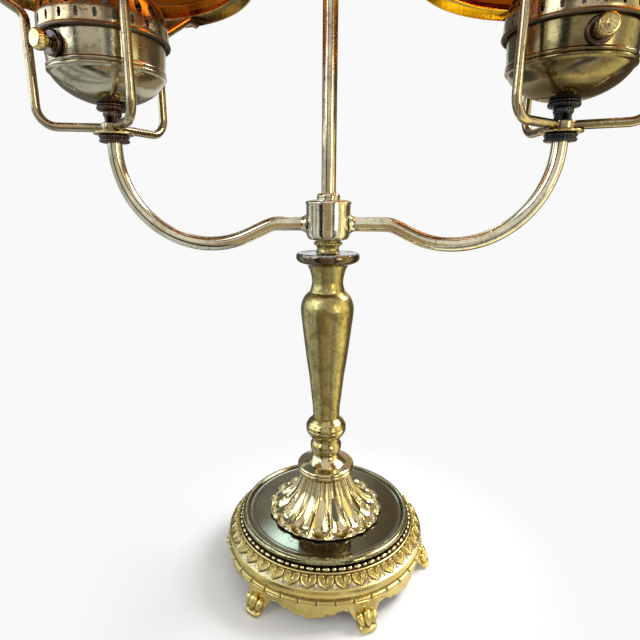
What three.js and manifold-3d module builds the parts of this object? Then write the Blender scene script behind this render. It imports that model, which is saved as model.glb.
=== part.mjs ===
// Two-light table lamp in brass: a footed cast base with a fluted bell and a turned column, a hub with
// two swept arms, and on each arm an oil-lamp font with a perforated gallery, a glass chimney, a switch
// and a tripod that holds an amber glass shade. Millimetres, +Z up, the floor at z = 0, the arms along X.
import * as THREE from 'three';
import { mergeVertices } from 'three/addons/utils/BufferGeometryUtils.js';
import Module from 'manifold-3d';

const wasm = await Module();
wasm.setup();

// Clearances
const SEAT = 0.1; // between faces that are clamped on each other
const FIT = 0.3; // around a shaft, spigot or rim in its hole
const RUN = 0.08; // around the switch shaft, which turns
const LOOSE = 0.3; // under a glass that only stands in its holder
const OVERRUN = 4; // how far a cutter passes what it cuts
const WELD = 0.0005; // corners nearer than this are one corner

// Pipes and rods
const PIPE_RADIUS = 5.1; // threaded lamp pipe
const PIPE_BORE = 3.4;
const TUBE_RADIUS = 4.6; // arms and centre rod
const TUBE_BORE = 3;
const ROD_RADIUS = 2.7; // shade tripod

// Base casting
const FOOT_COUNT = 6;
const BASE_TURN_DEGREES = -4.5; // how far the casting is screwed round from the arms
const BASE_RADIUS = 70.5;
const SKIRT_WALL = 3;
const FOOT_HEIGHT = 16.4;
const FOOT_WIDTH = 13.4;
const FOOT_DEPTH = 15;
const FOOT_OUTSET = 1; // a foot's centre outside the skirt
const PAD_RADIUS = 3.4;
const PAD_HEIGHT = 3.5;
const APRON_HEIGHT = 29.4; // floor to the bright edge above the plain band
const COVE_HEIGHT = 7.2; // bright edge to the top ridge
const COVE_WIDTH = 6.6;
const DECK_DROP = 1.1; // deck below the top ridge
const DECK_THICKNESS = 2.6;
const LEDGE_WIDTH = 2; // ridge to the outside of the bead ring's ledge

// Bead ring, plate and fluted bell
const BEAD_RADIUS = 1.4;
const PLATE_RADIUS = 60.7;
const PLATE_THICKNESS = 1.8;
const PLATE_HEIGHT = 6.7; // deck to the top of the plate's lip
const PLATE_LIP = 3.4; // width of the rolled lip
const PLATE_DISH = 1.5; // how far the plate dips between its lip and the bell
const PLATE_STEP = 0.6; // plate under the bell, below the lip
const BELL_RADIUS = 40.8;
const BELL_HEIGHT = 27.4;
const BELL_WALL = 2.4;
const BELL_FLUTES = 16;
const BELL_TURN_DEGREES = -2.3;
const FLUTE_DEPTH = 1.7;
const PETAL_REACH = 1.6; // how far a flute's round end stands past the ridges

// Turned stem, from the bell up
const DISH_RADIUS = 20.4;
const DISH_HEIGHT = 15.7;
const KNOP_RADIUS = 14.1;
const KNOP_HEIGHT = 27.4;
const COLUMN_RADIUS = 17.8;
const COLUMN_HEIGHT = 107.9;
const DISC_RADIUS = 20.8;
const DISC_HEIGHT = 7.8;
const COLLAR_RADIUS = 9.5;
const COLLAR_HEIGHT = 8.7;
const HUB_RADIUS = 14.8;
const HUB_HEIGHT = 24;
const HUB_WALL = 3.6;
const HUB_NUT_RADIUS = 7.4;
const HUB_NUT_HEIGHT = 4.6;

// Fastenings under the base
const WASHER_RADIUS = 14;
const WASHER_THICKNESS = 1.5;
const BASE_NUT_RADIUS = 9.5;
const BASE_NUT_HEIGHT = 5.5;
const PIPE_TAIL = 2.5; // pipe showing under the nut
const BUSHING_RADIUS = 6.6;
const BUSHING_LENGTH = 6;
const BUSHING_LIP = 1.6;
const BUSHING_MOUTH = 2.6; // radius of the hole that a cord leaves through

// Centre rod and finial
const CENTRE_ROD_LENGTH = 214;
const ROD_SOCKET = 8; // how deep the centre rod stands in the finial
const FINIAL_RADIUS = 9;
const FINIAL_HEIGHT = 32;

// Arms
const ARM_REACH = 138; // hub axis to font axis
const ARM_EASE_IN = 10; // handles of the dipping curve
const ARM_EASE_OUT = 23;
const ARM_SWEEP = 60; // radius of the long upward curve
const ARM_RISE = 50.9; // hub end's axis to the upright end
const ARM_LEVEL_SHARE = 0.395; // arm's axis above the hub's foot
const ARM_INSERT = 3.1; // tube inside the hub's wall
const DIP_STEPS = 6;
const SWEEP_STEPS = 8;
const BEND_STEPS = 4; // in each bend of a tripod's rod

// Tripod, nuts and font
const ARM_TOP_GRIP = 1.4; // arm inside the lock nut
const LOCKNUT_RADIUS = 9.3;
const LOCKNUT_HEIGHT = 4.7;
const SHADE_WASHER_RADIUS = 12.4;
const SHADE_WASHER_THICKNESS = 1.5;
const SPIDER_HUB_RADIUS = 7.6;
const TRIPOD_RADIUS = 46; // axis to the upright rods
const TRIPOD_BEND = 12;
const TRIPOD_TOP_BEND = 8;
const TRIPOD_RISE = 85.6; // lower rods to upper rods
const TRIPOD_SLOPE_DEGREES = 33; // rods' slope out to the ring
const TRIPOD_SEAT = 7; // level end of a rod under the ring's shelf
const FONT_RISE = 11.3; // spider's top to the font's foot
const FONT_NUT_RADIUS = 9.2;
const FONT_NUT_HEIGHT = 7.4;
const FONT_RADIUS = 35.3;
const FONT_HEIGHT = 38.2;
const FONT_WALL = 1.6;
const NIPPLE_END = 7.5; // pipe inside the font
const GALLERY_RADIUS = 38.3;
const GALLERY_LIP = 0.9; // rolled edge past the skirt
const GALLERY_HEIGHT = 37.4;
const GALLERY_OVERLAP = 4.6; // gallery skirt down over the font's rim
const GALLERY_WALL = 1.3;
const GALLERY_LEDGE = 3; // width of the shelf that the chimney stands on
const CROWN_HEIGHT = 7.6; // crown above that shelf
const HOLE_COUNT = 24;
const HOLE_WIDTH = 4.2;
const HOLE_LENGTH = 6.6;

// Socket, bulb and switch
const SOCKET_RADIUS = 17;
const SOCKET_HEIGHT = 36;
const SOCKET_FLOOR = 9;
const BULB_BASE_RADIUS = 13;
const BULB_TIP = 3; // height of the contact below the screw
const BULB_SCREW_SHARE = 0.3; // screwed part of the bulb's height
const BULB_RADIUS = 19;
const BULB_HEIGHT = 84;
const SWITCH_HEIGHT_SHARE = 0.68; // switch axis on the font's height
const SWITCH_SHAFT_RADIUS = 2;
const SWITCH_PLATE_RADIUS = 7;
const SWITCH_PLATE_THICKNESS = 1.6;
const SWITCH_KNOB_RADIUS = 5.5;
const SWITCH_KNOB_LENGTH = 8.5;

// Glass and shade ring
const CHIMNEY_WALL = 1.6;
const CHIMNEY_FOOT_RADIUS = 25.5;
const CHIMNEY_RADIUS = 29.5; // at the bulge
const CHIMNEY_HEIGHT = 158;
const RING_RADIUS = 92;
const RING_WALL = 1.5;
const RING_HEIGHT = 11;
const RING_DROP = 3.4; // ring wall below its shelf
const RING_SHELF = 7.5;
const SHADE_WALL = 2.6;
const SHADE_PLAY = 1.6; // between the shade's foot and the ring
const SHADE_HEIGHT = 122;

// The two sides: the arms were bent by hand, with a level part and a dip of their own, and the tripods
// and switches are turned from straight forward towards +X
const LEFT_STRAIGHT = 32;
const LEFT_DIP = 13.6;
const RIGHT_STRAIGHT = 36.5;
const RIGHT_DIP = 12.1;
const SIDES = [
  { name: 'left', side: -1, straight: LEFT_STRAIGHT, dip: LEFT_DIP, tripodDegrees: 40, switchDegrees: -25 },
  { name: 'right', side: 1, straight: RIGHT_STRAIGHT, dip: RIGHT_DIP, tripodDegrees: -51, switchDegrees: 0 },
];

// Faces round each kind of turned piece
const STEM_SIDES = 18;
const PIPE_SIDES = 12;
const BASE_SIDES = 40;
const FONT_SIDES = 24;
const SOCKET_SIDES = 12;
const GLASS_SIDES = 16;
const SHADE_SIDES = 28;
const TUBE_SIDES = 8;
const ROD_SIDES = 6;

const TURN = 2 * Math.PI;
const radians = (degrees) => (degrees * Math.PI) / 180;

// Heights of what is stacked on the deck of the base casting
const deckTop = APRON_HEIGHT + COVE_HEIGHT - DECK_DROP;
const deckFoot = deckTop - DECK_THICKNESS;
const plateFoot = deckTop + SEAT;
const bellFoot = deckTop + PLATE_HEIGHT - PLATE_STEP + SEAT;
const dishFoot = bellFoot + BELL_HEIGHT + SEAT;
const knopFoot = dishFoot + DISH_HEIGHT + SEAT;
const columnFoot = knopFoot + KNOP_HEIGHT + SEAT;
const discFoot = columnFoot + COLUMN_HEIGHT + SEAT;
const collarFoot = discFoot + DISC_HEIGHT + SEAT;
const hubFoot = collarFoot + COLLAR_HEIGHT + SEAT;
const hubTop = hubFoot + HUB_HEIGHT;
const pipeHole = PIPE_RADIUS + FIT;
const tubeHole = TUBE_RADIUS + FIT;

// Heights on a font's axis
const armLevel = hubFoot + HUB_HEIGHT * ARM_LEVEL_SHARE;
const armEnd = armLevel + ARM_RISE;
const locknutFoot = armEnd - ARM_TOP_GRIP;
const shadeWasherFoot = locknutFoot + LOCKNUT_HEIGHT + SEAT;
const spiderFoot = shadeWasherFoot + SHADE_WASHER_THICKNESS + SEAT;
const spiderTop = spiderFoot + 2 * ROD_RADIUS;
const fontFoot = spiderTop + FONT_RISE;
const fontTop = fontFoot + FONT_HEIGHT;
const galleryFoot = fontTop - GALLERY_OVERLAP;
const galleryTop = galleryFoot + GALLERY_HEIGHT;
const chimneyFoot = galleryTop - CROWN_HEIGHT + LOOSE;
const ringShelf = spiderFoot + TRIPOD_RISE + 2 * ROD_RADIUS + SEAT;
const shadeFoot = ringShelf + RING_WALL + LOOSE;

// A geometry's triangles with shared corners, without slivers of no area, facing out.
function closed(geometry) {
  const bare = new THREE.BufferGeometry();
  bare.setAttribute('position', geometry.getAttribute('position'));
  bare.setIndex(geometry.index);
  const merged = mergeVertices(bare, WELD);
  const place = merged.getAttribute('position');
  const corner = [0, 1, 2].map(() => new THREE.Vector3());
  const faces = [];
  let volume = 0;
  for (let i = 0; i < merged.index.count; i += 3) {
    const [a, b, c] = [0, 1, 2].map((k) => merged.index.getX(i + k));
    if (a === b || b === c || c === a) continue;
    faces.push(a, b, c);
    [a, b, c].forEach((index, k) => corner[k].fromBufferAttribute(place, index));
    volume += corner[0].dot(corner[1].cross(corner[2]));
  }
  if (volume < 0) faces.reverse();
  merged.setIndex(faces);
  return merged;
}

function toSolid(geometry) {
  const body = closed(geometry);
  const vertProperties = new Float32Array(body.getAttribute('position').array);
  const triVerts = new Uint32Array(body.index.array);
  return new wasm.Manifold(new wasm.Mesh({ numProp: 3, vertProperties, triVerts }));
}

function fromSolid(solid) {
  const { vertProperties, triVerts } = solid.getMesh();
  const geometry = new THREE.BufferGeometry();
  geometry.setAttribute('position', new THREE.BufferAttribute(new Float32Array(vertProperties), 3));
  geometry.setIndex(Array.from(triVerts));
  return geometry;
}

const cut = (body, ...tools) =>
  fromSolid(tools.reduce((solid, tool) => solid.subtract(toSolid(tool)), toSolid(body)));

const join = (...bodies) => fromSolid(bodies.map(toSolid).reduce((sum, solid) => sum.add(solid)));

// A piece turned about Z from an outline of [radius, height] points that closes on itself.
function turnedRing(outline, sides) {
  const points = [...outline, outline[0]].map(([radius, height]) => new THREE.Vector2(radius, height));
  return closed(new THREE.LatheGeometry(points, sides).rotateX(Math.PI / 2));
}

// A turned piece whose outline starts and ends on the axis.
function turnedSolid(outline, sides) {
  const points = outline.map(([radius, height]) => new THREE.Vector2(radius, height));
  return closed(new THREE.LatheGeometry(points, sides).rotateX(Math.PI / 2));
}

const scaled = (shares, radius, height) => shares.map(([r, z]) => [r * radius, z * height]);

// A turned piece with a straight bore, from its outer outline as shares of its radius and height.
function bored(shares, radius, height, bore, sides) {
  return turnedRing([[bore, 0], ...scaled(shares, radius, height), [bore, height]], sides);
}

// An outline moved square to itself, to the side that faces the axis when it runs upward.
function inset(outline, wall) {
  return outline.map(([radius, height], i) => {
    const before = outline[Math.max(i - 1, 0)];
    const after = outline[Math.min(i + 1, outline.length - 1)];
    const way = new THREE.Vector2(after[0] - before[0], after[1] - before[1]).normalize();
    return [radius - wall * way.y, height + wall * way.x];
  });
}

// A turned shell: the outer outline, and back down inside it.
const shellOutline = (outer, wall) => [...outer, ...inset(outer, wall).reverse()];

// A body whose outline changes as it goes round: one closed outline for each angle.
function ringOfOutlines(angles, outlineAt) {
  const outlines = angles.map(outlineAt);
  const count = outlines[0].length;
  const corners = [];
  const faces = [];
  outlines.forEach((outline, i) => {
    const [cosine, sine] = [Math.cos(angles[i]), Math.sin(angles[i])];
    outline.forEach(([radius, height]) => corners.push(radius * cosine, radius * sine, height));
    const here = i * count;
    const next = ((i + 1) % angles.length) * count;
    for (let j = 0; j < count; j++) {
      const k = (j + 1) % count;
      faces.push(here + j, next + j, next + k, here + j, next + k, here + k);
    }
  });
  const geometry = new THREE.BufferGeometry();
  geometry.setAttribute('position', new THREE.Float32BufferAttribute(corners, 3));
  geometry.setIndex(faces);
  return closed(geometry);
}

// A path through given points, each of them one section of the tube that is drawn along it.
class Stations extends THREE.Curve {
  constructor(points) {
    super();
    this.points = points;
  }

  station(t, step = 0) {
    const last = this.points.length - 1;
    return this.points[THREE.MathUtils.clamp(Math.round(t * last) + step, 0, last)];
  }

  getPointAt(t, target = new THREE.Vector3()) {
    return target.copy(this.station(t));
  }

  getTangentAt(t, target = new THREE.Vector3()) {
    const here = this.station(t);
    const ahead = this.station(t, 1).clone().sub(here).normalize();
    const behind = here.clone().sub(this.station(t, -1)).normalize();
    return target.copy(ahead).add(behind).normalize();
  }
}

// Points of an arc in the XZ plane, its angles counted from +X.
function arcPoints(centre, radius, from, to, steps) {
  return Array.from({ length: steps + 1 }, (_, i) => {
    const angle = from + ((to - from) * i) / steps;
    return new THREE.Vector3(centre.x + radius * Math.cos(angle), 0, centre.z + radius * Math.sin(angle));
  });
}

// A round bar or tube through the given points.
function along(points, radius, bore, sides) {
  const circle = (size) =>
    Array.from({ length: sides }, (_, i) => {
      const angle = (i / sides) * TURN;
      return new THREE.Vector2(size * Math.cos(angle), size * Math.sin(angle));
    });
  const section = new THREE.Shape(circle(radius));
  if (bore > 0) section.holes.push(new THREE.Path(circle(bore)));
  const extrudePath = new Stations(points);
  return closed(new THREE.ExtrudeGeometry(section, { steps: points.length - 1, extrudePath }));
}

function straightPipe(radius, bore, foot, top, sides) {
  return turnedRing([[bore, foot], [radius, foot], [radius, top], [bore, top]], sides);
}

function hexNut(radius, height, bore) {
  const body = new THREE.CylinderGeometry(radius, radius, height, 6).rotateX(Math.PI / 2);
  const drill = new THREE.CylinderGeometry(bore, bore, height + OVERRUN, PIPE_SIDES).rotateX(Math.PI / 2);
  return cut(body, drill);
}

// Materials
const finish = (color, roughness, metalness, opacity = 1) =>
  new THREE.MeshStandardMaterial({ color, roughness, metalness, opacity, transparent: opacity < 1 });
const satinBrass = finish(0xc4ab5e, 0.4, 1);
const polishedBrass = finish(0xcdbb83, 0.18, 1);
const agedBrass = finish(0xa08a3c, 0.3, 1);
const fontBrass = finish(0x82765a, 0.4, 1);
const brownPlate = finish(0x4b3a1c, 0.15, 1);
const brownDisc = finish(0x4a3826, 0.3, 0.3);
const darkIron = finish(0x2e2420, 0.5, 0.8);
const porcelain = finish(0xe8e2d4, 0.35, 0);
const amberGlass = finish(0xa84a10, 0.1, 0, 0.75);
const clearGlass = finish(0xf2efe6, 0.05, 0, 0.3);
const plastic = finish(0x1c1a18, 0.5, 0);

const lamp = new THREE.Group();

function addPiece(group, name, geometry, material) {
  const piece = new THREE.Mesh(geometry, material);
  piece.name = name;
  group.add(piece);
  return piece;
}

// Lower edge of the skirt between two feet: height as shares of the apron, against the way from foot
// to middle. It arches up beside the foot and drops in scallops to the middle.
const SKIRT_EDGE_SHARES = [[0, 0.21], [0.22, 0.25], [0.37, 0.43], [0.54, 0.37], [0.76, 0.29], [1, 0.23]];

function baseCasting() {
  const sector = TURN / FOOT_COUNT;
  const turn = radians(BASE_TURN_DEGREES);
  const angles = [];
  const edgeShares = [];
  for (let foot = 0; foot < FOOT_COUNT; foot++) {
    const middle = SKIRT_EDGE_SHARES.length - 1;
    const before = SKIRT_EDGE_SHARES.slice(1, middle + 1).reverse().map(([way, z]) => [-way, z]);
    for (const [way, z] of [...before, ...SKIRT_EDGE_SHARES.slice(0, middle)]) {
      angles.push(turn + (foot + way / 2) * sector);
      edgeShares.push(z);
    }
  }
  const skirtIn = BASE_RADIUS - SKIRT_WALL;
  const ridge = BASE_RADIUS - COVE_WIDTH;
  const ridgeTop = APRON_HEIGHT + COVE_HEIGHT;
  const skirtOutShares = [[0.985, 0.61], [1.004, 0.69], [0.99, 0.765], [0.999, 0.89], [0.992, 1]];
  const body = ringOfOutlines(angles, (angle) => {
    const edge = edgeShares[angles.indexOf(angle)] * APRON_HEIGHT;
    return [
      [BASE_RADIUS - SKIRT_WALL / 2, edge],
      ...scaled(skirtOutShares, BASE_RADIUS, APRON_HEIGHT),
      [ridge, ridgeTop],
      [ridge - LEDGE_WIDTH / 2, ridgeTop],
      [ridge - LEDGE_WIDTH / 2, deckTop],
      [pipeHole, deckTop],
      [pipeHole, deckFoot],
      [ridge - LEDGE_WIDTH, deckFoot],
      [skirtIn, APRON_HEIGHT - DECK_THICKNESS],
      [skirtIn - SKIRT_WALL / 2, edge],
    ];
  });
  const feet = Array.from({ length: FOOT_COUNT }, (_, i) => baseFoot(turn + i * sector));
  return join(body, ...feet);
}

// One foot: a round scroll under the skirt on a flat pad.
function baseFoot(angle) {
  const scroll = new THREE.SphereGeometry(1, 8, 5);
  scroll.scale(FOOT_DEPTH / 2, FOOT_WIDTH / 2, FOOT_HEIGHT / 2);
  scroll.translate(BASE_RADIUS + FOOT_OUTSET, 0, (FOOT_HEIGHT + PAD_HEIGHT / 2) / 2);
  const pad = new THREE.CylinderGeometry(PAD_RADIUS, PAD_RADIUS, PAD_HEIGHT, TUBE_SIDES).rotateX(Math.PI / 2);
  pad.translate(BASE_RADIUS + FOOT_OUTSET, 0, PAD_HEIGHT / 2);
  return join(scroll, pad).rotateZ(angle);
}

// A ring of beads lies in the gap between the casting's ridge and the plate's lip.
function beadRing() {
  const middle = BASE_RADIUS - COVE_WIDTH - LEDGE_WIDTH / 2 - FIT - BEAD_RADIUS;
  const sides = 5;
  const outline = Array.from({ length: sides }, (_, i) => {
    const angle = ((i + 0.5) / sides) * TURN;
    return [middle + BEAD_RADIUS * Math.cos(angle), deckTop + SEAT + BEAD_RADIUS * (1 - Math.sin(angle))];
  });
  return turnedRing(outline, BASE_SIDES);
}

// A spun plate with a rolled lip and a turned-down foot that stands on the deck.
function basePlate() {
  const beads = BASE_RADIUS - COVE_WIDTH - LEDGE_WIDTH / 2 - 2 * FIT - 2 * BEAD_RADIUS;
  const footRadius = beads - FIT;
  const footWidth = PLATE_LIP / 2;
  const top = deckTop + PLATE_HEIGHT;
  const lipFoot = deckTop + 2 * BEAD_RADIUS + 2 * SEAT + FIT;
  const lipMiddle = (top + lipFoot) / 2;
  const middle = top - PLATE_STEP;
  const lipIn = PLATE_RADIUS - PLATE_LIP;
  return turnedRing([
    [pipeHole, middle - PLATE_THICKNESS],
    [footRadius - footWidth, middle - PLATE_THICKNESS],
    [footRadius - footWidth, plateFoot],
    [footRadius, plateFoot],
    [footRadius, lipFoot],
    [PLATE_RADIUS - FIT, lipFoot],
    [PLATE_RADIUS, lipMiddle],
    [PLATE_RADIUS - PLATE_LIP / 2, top],
    [lipIn, top - PLATE_DISH / 2],
    [(lipIn + BELL_RADIUS) / 2, top - PLATE_DISH],
    [BELL_RADIUS, middle],
    [pipeHole, middle],
  ], BASE_SIDES);
}

// Ridge line of the bell, from its foot to the neck
const BELL_OUTLINE_SHARES = [
  [1, 0], [0.99, 0.07], [0.85, 0.145], [0.675, 0.29], [0.55, 0.5], [0.465, 0.74], [0.4, 1],
];

// The cast bell has concave flutes with round ends between raised ridges.
function flutedBell() {
  const steps = BELL_FLUTES * 4;
  const turn = radians(BELL_TURN_DEGREES);
  const angles = Array.from({ length: steps }, (_, i) => turn + (i / steps) * TURN);
  const ridge = scaled(BELL_OUTLINE_SHARES, BELL_RADIUS - PETAL_REACH, BELL_HEIGHT);
  const inside = inset(ridge, BELL_WALL + FLUTE_DEPTH).slice(2, -2).reverse();
  return ringOfOutlines(angles, (angle) => {
    const hollow = (1 - Math.cos((angle - turn) * BELL_FLUTES)) / 2;
    const outer = ridge.map(([radius, height], row) => {
      const deep = row < 2 ? PETAL_REACH : -FLUTE_DEPTH * Math.sin((Math.PI * row) / ridge.length);
      return [radius + deep * hollow, height];
    });
    return [...outer, [pipeHole, BELL_HEIGHT], [pipeHole, BELL_HEIGHT - BELL_WALL], ...inside,
      [ridge[0][0] - BELL_WALL, 0]];
  });
}

const DISH_OUTLINE_SHARES = [
  [0.73, 0], [0.81, 0.05], [0.85, 0.11], [0.95, 0.15], [0.995, 0.28], [0.99, 0.43], [0.946, 0.52],
  [0.863, 0.56], [0.657, 0.69], [0.515, 0.84], [0.451, 1],
];
const KNOP_OUTLINE_SHARES = [
  [0.66, 0], [0.74, 0.1], [0.78, 0.18], [0.77, 0.28], [0.667, 0.37], [0.69, 0.43], [0.851, 0.52],
  [0.957, 0.606], [1, 0.69], [0.965, 0.735], [1, 0.781], [0.929, 0.861], [0.794, 0.942], [0.652, 1],
];
const COLUMN_OUTLINE_SHARES = [
  [0.5, 0], [0.534, 0.07], [0.629, 0.212], [0.753, 0.37], [0.826, 0.463], [0.933, 0.611], [0.978, 0.676],
  [1, 0.722], [0.972, 0.759], [0.904, 0.79], [0.713, 0.829], [0.635, 0.852], [0.579, 0.893], [0.652, 0.963],
  [0.758, 1],
];
const DISC_OUTLINE_SHARES = [[0.66, 0], [0.9, 0.1], [1, 0.42], [0.98, 0.75], [0.89, 1]];
const COLLAR_OUTLINE_SHARES = [
  [0.83, 0], [0.83, 0.53], [0.97, 0.58], [1, 0.68], [0.96, 0.8], [0.83, 0.85], [0.83, 1],
];
const HUB_OUTLINE_SHARES = [[0.72, 0], [0.9, 0.07], [0.955, 0.19], [0.96, 0.9], [1, 0.92], [0.98, 1]];
const HUB_NUT_OUTLINE_SHARES = [[0.98, 0], [1, 0.6], [0.85, 1]];

// The hub is hollow, with a hole for the pipe, one for the centre rod and one for each arm.
function hub() {
  const cavity = HUB_RADIUS - HUB_WALL;
  const outline = [
    [pipeHole, 0],
    ...scaled(HUB_OUTLINE_SHARES, HUB_RADIUS, HUB_HEIGHT),
    [tubeHole, HUB_HEIGHT],
    [tubeHole, HUB_HEIGHT - HUB_WALL],
    [cavity, HUB_HEIGHT - HUB_WALL],
    [cavity, HUB_WALL],
    [pipeHole, HUB_WALL],
  ];
  const length = 2 * HUB_RADIUS + OVERRUN;
  const drill = new THREE.CylinderGeometry(tubeHole, tubeHole, length, PIPE_SIDES).rotateZ(Math.PI / 2);
  drill.translate(0, 0, HUB_HEIGHT * ARM_LEVEL_SHARE);
  return cut(turnedRing(outline, STEM_SIDES), drill);
}

const FINIAL_OUTLINE_SHARES = [
  [0.72, 0], [0.8, 0.12], [0.6, 0.22], [0.58, 0.32], [0.85, 0.42], [1, 0.56], [0.92, 0.74],
  [0.6, 0.87], [0, 1],
];

function finial() {
  const outer = scaled(FINIAL_OUTLINE_SHARES, FINIAL_RADIUS, FINIAL_HEIGHT);
  return turnedSolid([[0, ROD_SOCKET], [tubeHole, ROD_SOCKET], [tubeHole, 0], ...outer], STEM_SIDES);
}

function cordBushing() {
  const inside = pipeHole;
  const foot = -BUSHING_LIP;
  const top = BUSHING_LENGTH - BUSHING_LIP;
  return turnedRing([
    [BUSHING_MOUTH, foot], [BUSHING_RADIUS - FIT, foot], [BUSHING_RADIUS, foot + FIT],
    [BUSHING_RADIUS, top], [inside, top], [inside, 0], [BUSHING_MOUTH, 0],
  ], PIPE_SIDES);
}

function addStem() {
  const pipe = (name, geometry, material, height = 0) => {
    addPiece(lamp, name, geometry, material).position.z = height;
  };
  pipe('base_casting', baseCasting(), satinBrass);
  pipe('bead_ring', beadRing(), satinBrass);
  pipe('base_plate', basePlate(), brownPlate);
  pipe('fluted_bell', flutedBell(), polishedBrass, bellFoot);
  const turned = (name, shares, radius, height, foot, bore, material) =>
    pipe(name, bored(shares, radius, height, bore, STEM_SIDES), material, foot);
  turned('stem_dish', DISH_OUTLINE_SHARES, DISH_RADIUS, DISH_HEIGHT, dishFoot, pipeHole, polishedBrass);
  turned('stem_knop', KNOP_OUTLINE_SHARES, KNOP_RADIUS, KNOP_HEIGHT, knopFoot, pipeHole, polishedBrass);
  turned('column', COLUMN_OUTLINE_SHARES, COLUMN_RADIUS, COLUMN_HEIGHT, columnFoot, pipeHole, agedBrass);
  turned('cap_disc', DISC_OUTLINE_SHARES, DISC_RADIUS, DISC_HEIGHT, discFoot, pipeHole, brownDisc);
  turned('neck_collar', COLLAR_OUTLINE_SHARES, COLLAR_RADIUS, COLLAR_HEIGHT, collarFoot, pipeHole,
    polishedBrass);
  pipe('hub', hub(), polishedBrass, hubFoot);
  const hubNutFoot = hubTop + SEAT;
  turned('hub_nut', HUB_NUT_OUTLINE_SHARES, HUB_NUT_RADIUS, HUB_NUT_HEIGHT, hubNutFoot, tubeHole,
    polishedBrass);

  const rodFoot = hubTop - HUB_WALL - FIT;
  const rodTop = rodFoot + CENTRE_ROD_LENGTH;
  pipe('centre_rod', straightPipe(TUBE_RADIUS, TUBE_BORE, rodFoot, rodTop, PIPE_SIDES), polishedBrass);
  pipe('finial', finial(), polishedBrass, rodTop + SEAT - ROD_SOCKET);

  const washerFoot = deckFoot - SEAT - WASHER_THICKNESS;
  const nutFoot = washerFoot - SEAT - BASE_NUT_HEIGHT;
  const pipeFoot = nutFoot - PIPE_TAIL;
  const pipeTop = hubFoot + HUB_WALL + FIT;
  pipe('base_washer', straightPipe(WASHER_RADIUS, pipeHole, 0, WASHER_THICKNESS, STEM_SIDES), darkIron,
    washerFoot);
  pipe('base_nut', hexNut(BASE_NUT_RADIUS, BASE_NUT_HEIGHT, pipeHole), darkIron,
    nutFoot + BASE_NUT_HEIGHT / 2);
  pipe('tie_pipe', straightPipe(PIPE_RADIUS, PIPE_BORE, pipeFoot, pipeTop, PIPE_SIDES), darkIron);
  const bushingTop = nutFoot - SEAT;
  const bushingFoot = Math.min(pipeFoot - SEAT, bushingTop - BUSHING_LENGTH + BUSHING_LIP);
  pipe('cord_bushing', cordBushing(), plastic, bushingFoot);
}

// The arm leaves the hub level, dips, and sweeps up to stand under the font.
function armTube(straight, dip) {
  const start = HUB_RADIUS - ARM_INSERT;
  const low = armLevel - dip;
  const point = (x, z) => new THREE.Vector3(x, 0, z);
  const sweepCentre = point(ARM_REACH - ARM_SWEEP, low + ARM_SWEEP);
  const drop = new THREE.CubicBezierCurve3(
    point(straight, armLevel),
    point(straight + ARM_EASE_IN, armLevel),
    point(sweepCentre.x - ARM_EASE_OUT, low),
    point(sweepCentre.x, low),
  );
  return along([
    point(start, armLevel),
    ...drop.getPoints(DIP_STEPS),
    ...arcPoints(sweepCentre, ARM_SWEEP, -TURN / 4, 0, SWEEP_STEPS).slice(1),
    point(ARM_REACH, armEnd),
  ], TUBE_RADIUS, TUBE_BORE, TUBE_SIDES);
}

const LOCKNUT_OUTLINE_SHARES = [[0.95, 0], [1, 0.3], [0.92, 0.5], [1, 0.7], [0.92, 1]];
const FONT_NUT_OUTLINE_SHARES = [[0.6, 0], [0.6, 0.42], [0.92, 0.46], [1, 0.7], [0.92, 1]];

// Three rods run out from a flat boss, turn up beside the font, slope out and end level under the
// shade ring's shelf.
function shadeTripod() {
  const level = ROD_RADIUS;
  const upper = level + TRIPOD_RISE;
  const end = RING_RADIUS - RING_WALL - SHADE_PLAY;
  const slope = radians(TRIPOD_SLOPE_DEGREES);
  const point = (x, z) => new THREE.Vector3(x, 0, z);
  const lowCentre = point(TRIPOD_RADIUS - TRIPOD_BEND, level + TRIPOD_BEND);
  const seatCentre = point(end - TRIPOD_SEAT, upper - TRIPOD_TOP_BEND);
  const across = seatCentre.x - TRIPOD_TOP_BEND * Math.sin(slope)
    - (TRIPOD_RADIUS + TRIPOD_TOP_BEND * (1 - Math.sin(slope)));
  const slopeTop = upper - TRIPOD_TOP_BEND * (1 - Math.cos(slope));
  const bendTop = slopeTop - across * Math.tan(slope);
  const topCentre = point(TRIPOD_RADIUS + TRIPOD_TOP_BEND, bendTop - TRIPOD_TOP_BEND * Math.cos(slope));
  const rod = along([
    point(pipeHole + ROD_RADIUS / 2, level),
    ...arcPoints(lowCentre, TRIPOD_BEND, -TURN / 4, 0, BEND_STEPS),
    ...arcPoints(topCentre, TRIPOD_TOP_BEND, TURN / 2, TURN / 4 + slope, BEND_STEPS),
    ...arcPoints(seatCentre, TRIPOD_TOP_BEND, TURN / 4 + slope, TURN / 4, BEND_STEPS),
    point(end, upper),
  ], ROD_RADIUS, 0, ROD_SIDES);
  const rods = [0, 1, 2].map((k) => rod.clone().rotateZ((k / 3) * TURN));
  return join(straightPipe(SPIDER_HUB_RADIUS, pipeHole, 0, 2 * ROD_RADIUS, PIPE_SIDES), ...rods);
}

// An angle ring: an upright band with a shelf for the shade on its inside.
function shadeRing() {
  const inside = RING_RADIUS - RING_WALL;
  const shelfIn = inside - RING_SHELF;
  const top = RING_HEIGHT - RING_DROP;
  return turnedRing([
    [shelfIn, 0], [inside, 0], [inside, -RING_DROP], [RING_RADIUS, -RING_DROP],
    [RING_RADIUS, top], [inside, top], [inside, RING_WALL], [shelfIn, RING_WALL],
  ], SHADE_SIDES);
}

const FONT_OUTLINE_SHARES = [
  [0.27, 0], [0.496, 0.052], [0.686, 0.139], [0.858, 0.272], [0.94, 0.38], [0.98, 0.43], [0.965, 0.48],
  [1, 1],
];

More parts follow.
